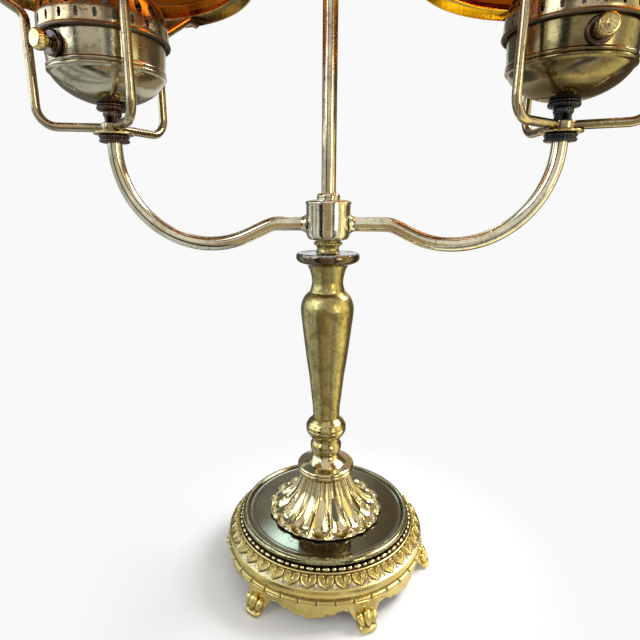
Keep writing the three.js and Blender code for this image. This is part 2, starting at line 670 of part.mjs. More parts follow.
// A spun cup with a hole below for the pipe and one in its side for the switch.
function fontCup() {
  const outer = scaled(FONT_OUTLINE_SHARES, FONT_RADIUS, FONT_HEIGHT);
  const outline = [[pipeHole, 0], ...shellOutline(outer, FONT_WALL), [pipeHole, FONT_WALL]];
  const shell = turnedRing(outline, FONT_SIDES);
  const reach = 2 * OVERRUN;
  const drillRadius = SWITCH_SHAFT_RADIUS + FIT;
  const drill = new THREE.CylinderGeometry(drillRadius, drillRadius, reach, TUBE_SIDES);
  drill.rotateZ(Math.PI / 2).translate(FONT_RADIUS, 0, FONT_HEIGHT * SWITCH_HEIGHT_SHARE);
  return cut(shell, drill);
}

const GALLERY_DOME_SHARES = [[1, 0.26], [0.93, 0.51], [0.79, 0.68]];
const HOLE_HEIGHT_SHARE = 0.39;

// The gallery drops over the font's rim, is pierced all round and ends in a crown that grips the chimney.
function gallery() {
  const crownIn = CHIMNEY_FOOT_RADIUS + FIT;
  const crownOut = crownIn + GALLERY_WALL;
  const rim = FONT_RADIUS + FIT;
  const skirt = GALLERY_RADIUS - GALLERY_LIP;
  const rest = GALLERY_OVERLAP + SEAT;
  const restIn = FONT_RADIUS - 2 * GALLERY_WALL;
  const ledge = GALLERY_HEIGHT - CROWN_HEIGHT;
  const dome = scaled(GALLERY_DOME_SHARES, skirt, GALLERY_HEIGHT);
  const body = turnedRing([
    [rim, 0],
    [GALLERY_RADIUS, 0],
    [GALLERY_RADIUS, GALLERY_WALL],
    [skirt, 2 * GALLERY_WALL],
    ...dome,
    [crownOut, ledge - GALLERY_WALL],
    [crownOut, GALLERY_HEIGHT],
    [crownIn, GALLERY_HEIGHT],
    [crownIn, ledge],
    [crownIn - GALLERY_LEDGE, ledge],
    [crownIn - GALLERY_LEDGE, ledge - GALLERY_WALL],
    ...inset(dome, GALLERY_WALL).reverse(),
    [restIn, rest + GALLERY_WALL],
    [restIn, rest],
    [rim, rest],
  ], FONT_SIDES);
  const holes = Array.from({ length: HOLE_COUNT }, (_, i) => {
    const hole = new THREE.CylinderGeometry(1, 1, 2 * OVERRUN, 4);
    hole.rotateZ(Math.PI / 2).scale(1, HOLE_WIDTH / 2, HOLE_LENGTH / 2);
    hole.translate(skirt - GALLERY_WALL, 0, GALLERY_HEIGHT * HOLE_HEIGHT_SHARE);
    return hole.rotateZ(((i + 0.5) / HOLE_COUNT) * TURN);
  });
  return cut(body, ...holes);
}

const SOCKET_OUTLINE_SHARES = [[0.5, 0], [0.9, 0.1], [1, 0.2], [1, 0.5], [0.95, 0.52], [0.95, 1]];
const BULB_OUTLINE_SHARES = [[0.68, 0.33], [0.94, 0.52], [1, 0.67], [0.93, 0.83], [0.6, 0.96], [0, 1]];

function lampSocket() {
  const bore = BULB_BASE_RADIUS + FIT;
  return turnedRing([
    [pipeHole, 0], ...scaled(SOCKET_OUTLINE_SHARES, SOCKET_RADIUS, SOCKET_HEIGHT),
    [bore, SOCKET_HEIGHT], [bore, SOCKET_FLOOR], [pipeHole, SOCKET_FLOOR],
  ], SOCKET_SIDES);
}

function lightBulb() {
  const glass = scaled(BULB_OUTLINE_SHARES, BULB_RADIUS, BULB_HEIGHT);
  const screwTop = BULB_HEIGHT * BULB_SCREW_SHARE;
  const base = [[0, 0], [BULB_BASE_RADIUS / 2, 0], [BULB_BASE_RADIUS, BULB_TIP]];
  const outline = [...base, [BULB_BASE_RADIUS, screwTop], ...glass];
  return turnedSolid(outline, SOCKET_SIDES);
}

// A round escutcheon, hollowed on its back to lie against the font.
function switchPlate() {
  const thickness = SWITCH_PLATE_THICKNESS + OVERRUN;
  const bore = (SWITCH_SHAFT_RADIUS + RUN) / Math.cos(Math.PI / PIPE_SIDES);
  const plate = straightPipe(SWITCH_PLATE_RADIUS, bore, 0, thickness, PIPE_SIDES).rotateY(Math.PI / 2);
  plate.translate(FONT_RADIUS + SEAT - OVERRUN, 0, 0);
  const size = 2 * (SWITCH_PLATE_RADIUS + OVERRUN);
  const wall = new THREE.CylinderGeometry(FONT_RADIUS + SEAT, FONT_RADIUS + SEAT, size, FONT_SIDES);
  return cut(plate, wall.rotateX(Math.PI / 2));
}

const KNOB_OUTLINE_SHARES = [[0.5, 0], [0.55, 0.25], [0.9, 0.35], [1, 0.5], [1, 0.85], [0.85, 1], [0, 1]];

// The knob is one piece with the shaft that turns the switch in the socket.
function switchKnob() {
  const shaft = FONT_RADIUS + SWITCH_PLATE_THICKNESS + FIT - SOCKET_RADIUS - FIT;
  const knob = scaled(KNOB_OUTLINE_SHARES, SWITCH_KNOB_RADIUS, SWITCH_KNOB_LENGTH);
  const outline = [[0, -shaft], [SWITCH_SHAFT_RADIUS, -shaft], [SWITCH_SHAFT_RADIUS, 0], ...knob];
  const body = turnedSolid(outline, PIPE_SIDES).rotateY(Math.PI / 2);
  return body.translate(FONT_RADIUS + SWITCH_PLATE_THICKNESS + SEAT + FIT, 0, 0);
}

const CHIMNEY_OUTLINE_SHARES = [
  [0.864, 0], [0.864, 0.05], [0.99, 0.1], [0.96, 0.19], [0.74, 0.3], [0.57, 0.42], [0.5, 1],
];
const SHADE_OUTLINE_SHARES = [
  [1, 0], [1, 0.065], [1.025, 0.11], [1, 0.24], [0.9, 0.44], [0.75, 0.66], [0.6, 0.85], [0.54, 0.93],
  [0.55, 1],
];

const glassShell = (shares, radius, height, wall, sides) =>
  turnedRing(shellOutline(scaled(shares, radius, height), wall), sides);

function addHead({ name, side, straight, dip, tripodDegrees, switchDegrees }) {
  const place = (piece, material, geometry, height = 0, degrees = 0) => {
    const mesh = addPiece(lamp, `${name}_${piece}`, geometry, material);
    mesh.position.set(side * ARM_REACH, 0, height);
    mesh.rotation.z = radians(degrees);
    return mesh;
  };
  const arm = addPiece(lamp, `${name}_arm`, armTube(straight, dip), polishedBrass);
  arm.rotation.z = side > 0 ? 0 : Math.PI;
  const locknut = bored(LOCKNUT_OUTLINE_SHARES, LOCKNUT_RADIUS, LOCKNUT_HEIGHT, pipeHole, PIPE_SIDES);
  place('arm_locknut', darkIron, locknut, locknutFoot);
  const washer = straightPipe(SHADE_WASHER_RADIUS, pipeHole, 0, SHADE_WASHER_THICKNESS, STEM_SIDES);
  place('shade_washer', satinBrass, washer, shadeWasherFoot);
  const tripodTurn = tripodDegrees - 90;
  place('shade_tripod', satinBrass, shadeTripod(), spiderFoot, tripodTurn);
  place('shade_ring', agedBrass, shadeRing(), ringShelf, tripodTurn);
  const nippleTop = fontFoot + NIPPLE_END;
  place('nipple', darkIron, straightPipe(PIPE_RADIUS, PIPE_BORE, armEnd + SEAT, nippleTop, PIPE_SIDES));
  const nut = bored(FONT_NUT_OUTLINE_SHARES, FONT_NUT_RADIUS, FONT_NUT_HEIGHT, pipeHole, PIPE_SIDES);
  place('font_nut', darkIron, nut, fontFoot - SEAT - FONT_NUT_HEIGHT);

  const switchTurn = switchDegrees - 90;
  const switchLevel = fontFoot + FONT_HEIGHT * SWITCH_HEIGHT_SHARE;
  const socketFoot = fontFoot + FONT_WALL + SEAT;
  place('font_cup', fontBrass, fontCup(), fontFoot, switchTurn);
  place('gallery', fontBrass, gallery(), galleryFoot, switchTurn);
  place('socket', satinBrass, lampSocket(), socketFoot);
  place('bulb', porcelain, lightBulb(), socketFoot + SOCKET_FLOOR + SEAT);
  place('switch_plate', darkIron, switchPlate(), switchLevel, switchTurn);
  place('switch_knob', satinBrass, switchKnob(), switchLevel, switchTurn);

  const chimney = glassShell(CHIMNEY_OUTLINE_SHARES, CHIMNEY_RADIUS, CHIMNEY_HEIGHT, CHIMNEY_WALL,
    GLASS_SIDES);
  place('chimney', clearGlass, chimney, chimneyFoot);
  const shadeRadius = RING_RADIUS - RING_WALL - SHADE_PLAY;
  const shade = glassShell(SHADE_OUTLINE_SHARES, shadeRadius, SHADE_HEIGHT, SHADE_WALL, SHADE_SIDES);
  place('shade', amberGlass, shade, shadeFoot, tripodTurn);
}

addStem();
SIDES.forEach(addHead);

export default lamp;
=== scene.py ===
import math
from collections import namedtuple

import bmesh
import bpy
import numpy as np
from mathutils import Matrix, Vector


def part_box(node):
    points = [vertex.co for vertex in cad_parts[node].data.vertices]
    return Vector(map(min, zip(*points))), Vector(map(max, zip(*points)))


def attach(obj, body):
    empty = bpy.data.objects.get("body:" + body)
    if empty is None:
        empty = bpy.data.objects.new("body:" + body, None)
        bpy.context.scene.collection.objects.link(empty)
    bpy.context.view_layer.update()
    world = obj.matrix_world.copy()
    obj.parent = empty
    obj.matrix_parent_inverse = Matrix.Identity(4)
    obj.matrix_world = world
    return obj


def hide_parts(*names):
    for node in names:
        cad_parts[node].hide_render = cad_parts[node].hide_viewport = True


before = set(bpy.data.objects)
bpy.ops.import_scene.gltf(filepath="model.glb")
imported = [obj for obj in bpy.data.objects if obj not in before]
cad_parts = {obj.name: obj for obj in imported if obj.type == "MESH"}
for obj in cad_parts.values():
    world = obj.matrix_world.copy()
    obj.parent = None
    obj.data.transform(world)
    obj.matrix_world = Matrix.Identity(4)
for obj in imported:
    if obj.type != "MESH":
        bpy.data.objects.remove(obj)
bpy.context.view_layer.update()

# ---------------------------------------------------------------------------------------------
# Base casting: the footed base, one piece of satin brass. Sand cast, then chased: a cove of heart
# leaves, a plain band, a belt of ribbon links and a scalloped apron between six scrolled feet.

MM = 0.001
TURN = 2 * math.pi
LEAVES = 38  # leaves in the cove, and ribbon links in the belt below them
LEAF_COLUMNS = 28
APRON = 29.4  # floor to the bright edge over the plain band
COVE_WIDTH = 6.6
COVE_HEIGHT = 7.2
SKIRT_WALL = 3
DECK_HEIGHT = 35.5
DECK_THICKNESS = 2.6
LEDGE_WIDTH = 2
FEET = 6
BASE_TURN = math.radians(-4.5)
PIPE_HOLE = 5.4
CASTING_SKIRT = [(0.985, 0.61), (0.995, 0.63), (1.002, 0.66), (1.004, 0.69), (1.001, 0.72), (0.993, 0.75),
                 (0.99, 0.765), (0.99, 0.765), (0.994, 0.8), (0.998, 0.89), (0.99, 0.96), (0.99, 0.96),
                 (0.997, 0.975), (0.999, 0.99), (0.992, 1)]
APRON_EDGE = [(0, 0.2), (0.1, 0.21), (0.2, 0.26), (0.28, 0.38), (0.38, 0.43), (0.46, 0.41), (0.6, 0.345),
              (0.76, 0.3), (0.9, 0.255), (1, 0.245)]
SCALLOP = 1.5
SCALLOP_WIDTH = 0.2  # share of the way from a foot to the middle of its arch
LEAF_RAISE = 1.0
LINK_RAISE = 1.0
LINK_HALF_HEIGHT = 1.7
LINK_LEVEL = 0.69  # share of the apron's height

Seat = namedtuple("Seat", "x y foot radius height")


def seat(node):
    """Where a turned piece stands: its axis, foot, radius and height in millimetres."""
    low, high = (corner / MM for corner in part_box(node))
    radius = max(high.x - low.x, high.y - low.y) / 2
    return Seat((low.x + high.x) / 2, (low.y + high.y) / 2, low.z, radius, high.z - low.z)


def ease(low, high, value):
    """0 below low, 1 above high, smooth between."""
    share = np.clip((np.asarray(value, float) - low) / (high - low), 0, 1)
    return share * share * (3 - 2 * share)


def flow(points, steps=5):
    """A smooth line through the points. A point written twice is a corner."""
    stretches = [[points[0]]]
    for point in points[1:]:
        if point == stretches[-1][-1]:
            stretches.append([point])
        else:
            stretches[-1].append(point)
    line = []
    for stretch in stretches:
        at = np.array(stretch, float)
        if len(at) == 1:
            continue
        gaps = np.maximum(np.linalg.norm(np.diff(at, axis=0), axis=1), 1e-6)
        slopes = np.diff(at, axis=0) / gaps[:, None]
        tangents = np.vstack([slopes[:1], slopes[-1:]]) if len(at) == 2 else np.vstack([
            slopes[:1],
            (slopes[:-1] * gaps[1:, None] + slopes[1:] * gaps[:-1, None]) / (gaps[:-1] + gaps[1:])[:, None],
            slopes[-1:],
        ])
        count = 1 if len(at) == 2 else steps
        for i, gap in enumerate(gaps):
            for t in np.arange(count) / count:
                line.append((2 * t**3 - 3 * t**2 + 1) * at[i] + (t**3 - 2 * t**2 + t) * gap * tangents[i]
                            + (3 * t**2 - 2 * t**3) * at[i + 1] + (t**3 - t**2) * gap * tangents[i + 1])
        line.append(at[-1])
    return np.array(line)


def scaled(shares, radius, height, foot=0):
    """A smooth outline from shares of a radius and a height, in millimetres."""
    return flow([(r * radius, z * height) for r, z in shares]) + [0, foot]


def circle(count):
    """Even angles all the way round."""
    return np.arange(count) / count * TURN


def ahead_of(path):
    """The direction of a path at each of its points, one millimetre long."""
    steps = np.gradient(path, axis=0)
    return steps / np.linalg.norm(steps, axis=1)[:, None]


def round_axis(radii, heights, angles):
    """Places at these radii and heights, row by row, all the way round the lamp's axis."""
    radii, heights, angles = np.broadcast_arrays(radii, heights, angles)
    return np.stack([radii * np.cos(angles), radii * np.sin(angles), heights], axis=-1)


def skin(grid, loop=False):
    """Corners and faces of a surface through rows of places that close round on themselves."""
    rows, columns = grid.shape[:2]
    index = np.arange(rows * columns).reshape(rows, columns)
    lower = index if loop else index[:-1]
    upper = np.roll(index, -1, axis=0) if loop else index[1:]
    faces = np.stack([lower, np.roll(lower, -1, axis=1), np.roll(upper, -1, axis=1), upper], axis=-1)
    return grid.reshape(-1, 3), faces.reshape(-1, 4)


def spun(outline, sides, closed=True):
    """Corners and faces of an outline of radius and height, spun round the lamp's axis."""
    return skin(round_axis(outline[:, :1], outline[:, 1:], circle(sides)), loop=closed)


def gather(parts):
    """Several sets of corners and faces as one set."""
    corners, faces, start = [], [], 0
    for part_corners, part_faces in parts:
        corners.append(part_corners)
        faces.append(part_faces + start)
        start += len(part_corners)
    return np.vstack(corners), np.vstack(faces)


def make(name, surface, material, crease=40, **marks):
    """A mesh object in the lamp's frame. marks are named values at its corners that materials read."""
    corners, faces = surface
    mesh = bpy.data.meshes.new(name)
    mesh.from_pydata((corners * MM).tolist(), [], faces.tolist())
    for mark, values in marks.items():
        attribute = mesh.attributes.new(mark, "FLOAT", "POINT")
        attribute.data.foreach_set("value", np.ravel(values).astype(np.float32))
    edit = bmesh.new()
    edit.from_mesh(mesh)
    bmesh.ops.remove_doubles(edit, verts=edit.verts, dist=2e-6)
    bmesh.ops.dissolve_degenerate(edit, edges=edit.edges, dist=1e-6)
    edit.to_mesh(mesh)
    edit.free()
    mesh.shade_smooth()
    mesh.set_sharp_from_angle(angle=math.radians(crease))
    mesh.materials.append(material)
    piece = bpy.data.objects.new(name, mesh)
    bpy.context.scene.collection.objects.link(piece)
    return piece


def fit(piece, body, slot, *nodes):
    """The piece stands for these CAD nodes and moves with their body. slot is not used."""
    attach(piece, body)
    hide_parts(*nodes)
    return piece


def node_group(name, inputs, outputs):
    """An empty shader group with named sockets of these kinds, its input node and its output node."""
    group = bpy.data.node_groups.new(name, "ShaderNodeTree")
    for way, sockets in (("INPUT", inputs), ("OUTPUT", outputs)):
        for label, kind in sockets.items():
            group.interface.new_socket(label, in_out=way, socket_type="NodeSocket" + kind)
    return group, group.nodes.new("NodeGroupInput"), group.nodes.new("NodeGroupOutput")


def feed(tree, socket, value):
    """Sets a socket to a plain number or colour, or links another socket to it."""
    if isinstance(value, (int, float, tuple)):
        socket.default_value = value
    else:
        tree.links.new(value, socket)


def blend(tree, factor, first, second):
    """A colour between two others, by a factor."""
    mix = tree.nodes.new("ShaderNodeMix")
    mix.data_type = "RGBA"
    for label, value in (("Factor", factor), ("A", first), ("B", second)):
        feed(tree, mix.inputs[label], value)
    return mix.outputs["Result"]


def sums(tree, operation, value, *others):
    """A row of Math nodes: each works on what came before it and on the next socket or number."""
    for other in others:
        node = tree.nodes.new("ShaderNodeMath")
        node.operation = operation
        feed(tree, node.inputs[0], value)
        feed(tree, node.inputs[1], other)
        value = node.outputs[0]
    return value


def times(tree, *values):
    """The product of sockets and plain numbers."""
    return sums(tree, "MULTIPLY", *values)


def ramp(tree, value, low, high, bottom=0.0, top=1.0):
    """A value eased from bottom to top as it passes from low to high."""
    node = tree.nodes.new("ShaderNodeMapRange")
    node.interpolation_type = "SMOOTHSTEP"
    for label, number in (("From Min", low), ("From Max", high), ("To Min", bottom), ("To Max", top)):
        feed(tree, node.inputs[label], number)
    feed(tree, node.inputs["Value"], value)
    return node.outputs["Result"]


def noise(tree, vector, scale, detail, distortion=0.0):
    """Cloudy noise, from 0 to 1, where the vector points."""
    node = tree.nodes.new("ShaderNodeTexNoise")
    for label, value in (("Vector", vector), ("Scale", scale), ("Detail", detail), ("Distortion", distortion)):
        feed(tree, node.inputs[label], value)
    return node.outputs["Fac"]


def build_patina():
    """Tarnish for every metal here: cloudy patches, dark specks, dirt and painted shade in the hollows, gaps and
    undersides, a pale chalky ground or painted sheen where the mesh says so, and fine scratches."""
    group, given, result = node_group(
        "patina",
        {"Metal": "Color", "Tarnish": "Color", "Dirt And Shade": "Color", "Chalk And Sheen": "Color", "Tarnish Amount": "Float",
         "Speck Amount": "Float", "Cloud Scale": "Float", "Polish": "Float", "Dullness": "Float"},
        {"Color": "Color", "Roughness": "Float", "Height": "Float"})
    given = given.outputs
    place = group.nodes.new("ShaderNodeTexCoord").outputs["Object"]
    marks = {}
    for mark in ("hollow", "chalk"):
        node = group.nodes.new("ShaderNodeAttribute")
        node.attribute_name = mark
        marks[mark] = node.outputs["Fac"]
    clouds = noise(group, place, given["Cloud Scale"], 6.0, 0.6)
    tarnish = times(group, ramp(group, clouds, 0.42, 0.66), given["Tarnish Amount"])
    speck_scale = times(group, given["Cloud Scale"], 10.0)
    specks = ramp(group, noise(group, place, speck_scale, 6.0), 0.5, 0.64)
    patches = ramp(group, noise(group, place, times(group, given["Cloud Scale"], 2.3), 3.0), 0.4, 0.6)
    specks = times(group, specks, patches, given["Speck Amount"])
    dirt_and_shade_edge = sums(group, "ADD", times(group, noise(group, place, 900.0, 3.0), 0.5), 0.75)
    # The dark mark is partly dirt and partly painted shade: it also darkens gaps, undersides and shadowed bands.
    dirt_and_shade = times(group, marks["hollow"], dirt_and_shade_edge)
    grime_and_shade = sums(group, "MINIMUM", sums(group, "MAXIMUM", dirt_and_shade, specks), 1.0)
    chalky = times(group, marks["chalk"], ramp(group, noise(group, place, 650.0, 4.0), 0.35, 0.6, 0.35, 1.0))
    color = given["Metal"]
    for share, label in ((tarnish, "Tarnish"), (chalky, "Chalk And Sheen"), (grime_and_shade, "Dirt And Shade")):
        color = blend(group, share, color, given[label])
    streaks = group.nodes.new("ShaderNodeMapping")
    streaks.inputs["Scale"].default_value = (1.0, 1.0, 14.0)
    streaks.inputs["Rotation"].default_value = (0.5, 0.3, 0.8)
    feed(group, streaks.inputs["Vector"], place)
    scratches = ramp(group, noise(group, streaks.outputs["Vector"], 240.0, 2.0), 0.62, 0.7)
    dull = sums(group, "ADD", times(group, clouds, 0.5), times(group, scratches, 0.25), times(group, grime_and_shade, 0.6))
    dull = sums(group, "MINIMUM", dull, 1.0)
    roughness = ramp(group, dull, 0.1, 0.9, given["Polish"], given["Dullness"])
    grain = times(group, noise(group, place, speck_scale, 4.0), 0.5)
    height = sums(group, "SUBTRACT", grain, times(group, grime_and_shade, 0.5), times(group, scratches, 0.15))
    for label, value in (("Color", color), ("Roughness", roughness), ("Height", height)):
        feed(group, result.inputs[label], value)
    return group


patina = build_patina()


def new_material(name):
    """A material, its node tree, its shader and the place that is shaded, in the lamp's frame."""
    material = bpy.data.materials.new(name)
    material.use_nodes = True
    tree = material.node_tree
    return material, tree, tree.nodes["Principled BSDF"], tree.nodes.new("ShaderNodeTexCoord").outputs["Object"]


def dress(tree, shader, color, roughness, height, depth):
    """Gives a shader its colour, roughness and relief. depth is how deep a height of 1 is, in metres."""
    bump = tree.nodes.new("ShaderNodeBump")
    bump.inputs["Distance"].default_value = depth
    feed(tree, bump.inputs["Height"], height)
    for label, value in (("Base Color", color), ("Roughness", roughness), ("Normal", bump.outputs["Normal"])):
        feed(tree, shader.inputs[label], value)


def metal(name, bright, tarnish, dirt_and_shade, chalk=(0.28, 0.23, 0.17), *, tarnish_amount, speck_amount, cloud_scale,
          polish, dullness, relief=0.00006, metallic=1.0, lacquer=0.0, dents=0.0):
    """A metal finish: the patina group with this piece's own colours, on a metallic shader. Relief and dents
    are depths in metres."""
    material, tree, shader, place = new_material(name)
    for label, value in (("Metallic", metallic), ("Coat Weight", lacquer), ("Coat Roughness", 0.06)):
        shader.inputs[label].default_value = value
    worn = tree.nodes.new("ShaderNodeGroup")
    worn.node_tree = patina
    for label, color in (("Metal", bright), ("Tarnish", tarnish), ("Dirt And Shade", dirt_and_shade), ("Chalk And Sheen", chalk)):
        worn.inputs[label].default_value = (*color, 1)
    for label, value in (("Tarnish Amount", tarnish_amount), ("Speck Amount", speck_amount),
                         ("Cloud Scale", cloud_scale), ("Polish", polish), ("Dullness", dullness)):
        worn.inputs[label].default_value = value
    waves = times(tree, noise(tree, place, cloud_scale * 2.2, 2.0), dents)
    height = sums(tree, "ADD", times(tree, worn.outputs["Height"], relief), waves)
    dress(tree, shader, worn.outputs["Color"], worn.outputs["Roughness"], height, 1.0)
    return material


satin_brass = metal("satin_brass", (0.68, 0.55, 0.2), (0.48, 0.35, 0.11), (0.13, 0.075, 0.03), tarnish_amount=0.5,
                    speck_amount=0.15, cloud_scale=55.0, polish=0.25, dullness=0.5, relief=0.00012)

columns = LEAVES * LEAF_COLUMNS
base_radius = 70.5
angles = circle(columns)
leaf_way = ((np.arange(columns) + 0.5) / LEAF_COLUMNS + 0.5) % 1 - 0.5  # across a leaf, from -0.5 to 0.5
foot_way = np.abs(((angles - BASE_TURN) * FEET / TURN + 0.5) % 1 - 0.5) * 2  # 0 at a foot, 1 between two feet


def leaf_relief(across, up):
    """Height of the heart leaf and the dart between two, how dark it is there, and the pale ground's share."""
    across = np.abs(across)
    t = np.clip((up - 0.02) / 0.94, 0, 1)
    half = 0.485 * np.where(t < 0.6, 1 - np.maximum(1 - t / 0.6, 0) ** 1.7,
                            np.sqrt(np.maximum(1 - 0.25 * ((t - 0.6) / 0.4) ** 2, 0)))
    lobe_top = 0.99 - 0.12 * ((across - 0.27) / 0.22) ** 2
    split = across - 0.05 * ease(0.45, 0.9, t)  # the notch between the two lobes
    inside = np.minimum(half - across, (lobe_top - t) * 0.6)
    inside = np.where(t > 0.42, np.minimum(inside, split), inside)
    body = ease(0, 0.045, inside)
    rim = 1 - 0.6 * ease(0.045, 0.13, inside)
    vein = 1 + 0.8 * (1 - ease(0.01, 0.035, across)) * (1 - ease(0.3, 0.42, t)) * ease(0.1, 0.2, t)
    relief = body * rim * vein
    dart = 0.5 * ease(0.455, 0.49, across) * ease(0.08, 0.16, up) * (1 - ease(0.36, 0.46, up))
    relief = np.maximum(relief, dart)
    ground = ease(0.02, 0.06, across - half) * (1 - ease(0.5, 0.7, up))
    dark = np.maximum(1 - ease(0.1, 0.5, relief), 0.62 * ease(0.05, 0.13, inside))
    return LEAF_RAISE * relief, dark * (1 - ground), ground


def link_relief(across, rise):
    """Height of a ribbon link: a long pad with round ends, dished along its middle."""
    ends = 0.465 - 0.05 * (rise / LINK_HALF_HEIGHT) ** 2
    pad = ease(0, 0.03, ends - np.abs(across)) * ease(0, 0.45, LINK_HALF_HEIGHT - np.abs(rise))
    dish = 1 - 0.6 * ease(0.3, 0.75, 1 - np.abs(rise) / LINK_HALF_HEIGHT) * ease(0, 0.05, 0.4 - np.abs(across))
    return LINK_RAISE * pad * dish


def casting_surface():
    """The casting without its feet: up the skirt from its scalloped edge, over the cove and back down inside.
    Also how dark each place is, from dirt and painted shade, and how chalky."""
    edge = np.interp(foot_way, *flow(APRON_EDGE).T) * APRON
    scallops = np.abs(np.sin(math.pi * (foot_way - 0.46) / SCALLOP_WIDTH)) * ease(0.44, 0.5, foot_way)
    edge -= SCALLOP * (scallops - 0.5 * ease(0.44, 0.5, foot_way))
    radii, heights, hollows, chalks = [], [], [], []

    def row(radius, height, hollow=0.0, chalk=0.0):
        for rows, values in ((radii, radius), (heights, height), (hollows, hollow), (chalks, chalk)):
            rows.append(np.broadcast_to(values, columns))

    skirt = scaled(CASTING_SKIRT, base_radius, APRON)
    skirt_foot = skirt[0]
    edge_radius = base_radius - SKIRT_WALL / 2
    row(edge_radius - 0.8, edge)
    row(edge_radius - 0.25, edge + 0.15)
    for share in np.linspace(0, 1, 18)[1:]:
        curl = 0.5 * (1 - ease(0, 0.12, share))
        row(edge_radius + curl + (skirt_foot[0] - edge_radius) * share,
            edge + 0.5 + (skirt_foot[1] - edge - 0.5) * share, 0.35 * ease(0.93, 1, share))
    for radius, height in skirt[1:]:
        rise = height - LINK_LEVEL * APRON
        lift = link_relief(leaf_way, rise) if abs(rise) < LINK_HALF_HEIGHT else 0 * leaf_way
        near = 1 - ease(LINK_HALF_HEIGHT + 0.2, LINK_HALF_HEIGHT + 0.8, abs(rise))
        row(radius + lift, height, near * (1 - ease(0.1, 0.6, lift)) * 0.85)
    slope = np.array([-COVE_WIDTH, COVE_HEIGHT]) / math.hypot(COVE_WIDTH, COVE_HEIGHT)
    out = np.array([slope[1], -slope[0]])
    for up in np.linspace(0.03, 0.93, 30):
        belly = 0.9 * math.sin(math.pi * up)
        lift, dark, ground = leaf_relief(leaf_way, (up - 0.03) / 0.9)
        lift = lift - belly
        row(skirt[-1][0] - COVE_WIDTH * up + out[0] * lift, APRON + COVE_HEIGHT * up + out[1] * lift, dark, ground)
    ridge = base_radius - COVE_WIDTH
    top = APRON + COVE_HEIGHT
    ledge, deck_foot = ridge - LEDGE_WIDTH / 2, DECK_HEIGHT - DECK_THICKNESS
    # The ledge and the deck under the beads and the plate, and the casting's inside, get the dark mark: painted
    # shade.
    for radius, height, hollow in (
            (ridge + 0.1, top - 0.35, 0.3), (ridge - 0.2, top - 0.05, 0), (ridge - 0.75, top, 0),
            (ledge, top - 0.3, 0.6), (ledge, DECK_HEIGHT, 1), (PIPE_HOLE, DECK_HEIGHT, 0.5),
            (PIPE_HOLE, deck_foot, 0.5), (ridge - LEDGE_WIDTH, deck_foot, 0.8),
            (base_radius - SKIRT_WALL, APRON - DECK_THICKNESS, 0.8), (base_radius - 1.5 * SKIRT_WALL, edge, 0.5)):
        row(radius, height, hollow)
    grid = round_axis(np.array(radii), np.array(heights), angles)
    return skin(grid, loop=True), np.array(hollows), np.array(chalks)


# Side line of a foot's strap: distance outside the skirt, height, half thickness and half width
FOOT_LINE = [(-3.4, 18, 1.6, 14), (-2.6, 13.5, 2.0, 11.4), (-1.4, 9.2, 2.3, 8.9), (0.6, 5.4, 2.5, 7.1),
             (3.2, 3.0, 2.6, 6), (5.2, 2.4, 2.4, 5.6), (6.4, 2.3, 2.0, 4.6), (7.0, 2.2, 1.1, 2.8)]
FOOT_SIDES = 40
# Lobes of the shell that curls up from a foot's toe: place across and out, middle height, half width, half
# thickness, half height and splay in degrees
SHELL = [(0, 3.6, 8.2, 3.4, 2.6, 5.4, 0), (4.1, 2.9, 7.5, 3.0, 2.3, 4.7, 17), (-4.1, 2.9, 7.5, 3.0, 2.3, 4.7, -17)]
SHELL_LEAN = 14


def spin_about(turn):
    """Turns places given as rows of x, y, z round the upright axis."""
    return np.array([[math.cos(turn), math.sin(turn), 0], [-math.sin(turn), math.cos(turn), 0], [0, 0, 1]])


def lobe_surface(across, out, height, half_wide, half_thick, half_tall, splay):
    """One lobe, fuller above and pointed below, leaning back towards the skirt."""
    polar = np.linspace(0, math.pi, 17)[:, None]
    around = circle(24)
    full = np.sin(polar) ** 0.8
    x = half_thick * full * np.cos(around)
    y = half_wide * full * (0.72 - 0.28 * np.cos(polar)) * np.sin(around)
    z = -half_tall * np.cos(polar) + 0 * around
    tilt, lean = math.radians(splay), math.tan(math.radians(SHELL_LEAN))
    y, z = y * math.cos(tilt) + z * math.sin(tilt), z * math.cos(tilt) - y * math.sin(tilt)
    return skin(np.stack([base_radius + out + x - lean * z, across + y, height + z], axis=-1))


def foot_surface(turn):
    """One foot: a strap that drops from the skirt and turns out on the floor, with a shell of three lobes."""
    line = flow(FOOT_LINE, 6)
    path, thick, wide = line[:, :2], line[:, 2], line[:, 3]
    ahead = ahead_of(path)
    side = np.stack([ahead[:, 1], -ahead[:, 0]], axis=1)
    around = circle(FOOT_SIDES)
    across, out = np.cos(around), np.sin(around)
    across = np.sign(across) * np.abs(across) ** 0.75
    out = np.sign(out) * np.abs(out) ** 0.75
    offset = thick[:, None] * out[None, :]
    places = np.stack([
        base_radius + path[:, :1] + side[:, :1] * offset,
        wide[:, None] * across[None, :],
        np.maximum(path[:, 1:] + side[:, 1:] * offset, 0),
    ], axis=-1)
    caps = np.repeat(places.mean(axis=1, keepdims=True), FOOT_SIDES, axis=1)
    places = np.concatenate([caps[:1], places, caps[-1:]])
    corners, faces = gather([skin(places[:, ::-1])] + [lobe_surface(*lobe) for lobe in SHELL])
    strap_corners = places.shape[0] * FOOT_SIDES
    # Painted shade: the strap behind the shell and the lower ends of the lobes, near the floor, are darkened.
    behind = corners[:strap_corners]
    shaded = ease(3, 5.5, behind[:, 2]) * ease(0.5, 1.5, behind[:, 0] - base_radius) * 0.7
    lobe_underside_shade = 0.9 * (1 - ease(4.5, 7, corners[strap_corners:, 2]))
    return (corners @ spin_about(turn), faces), np.concatenate([shaded, lobe_underside_shade]), np.zeros(len(corners))


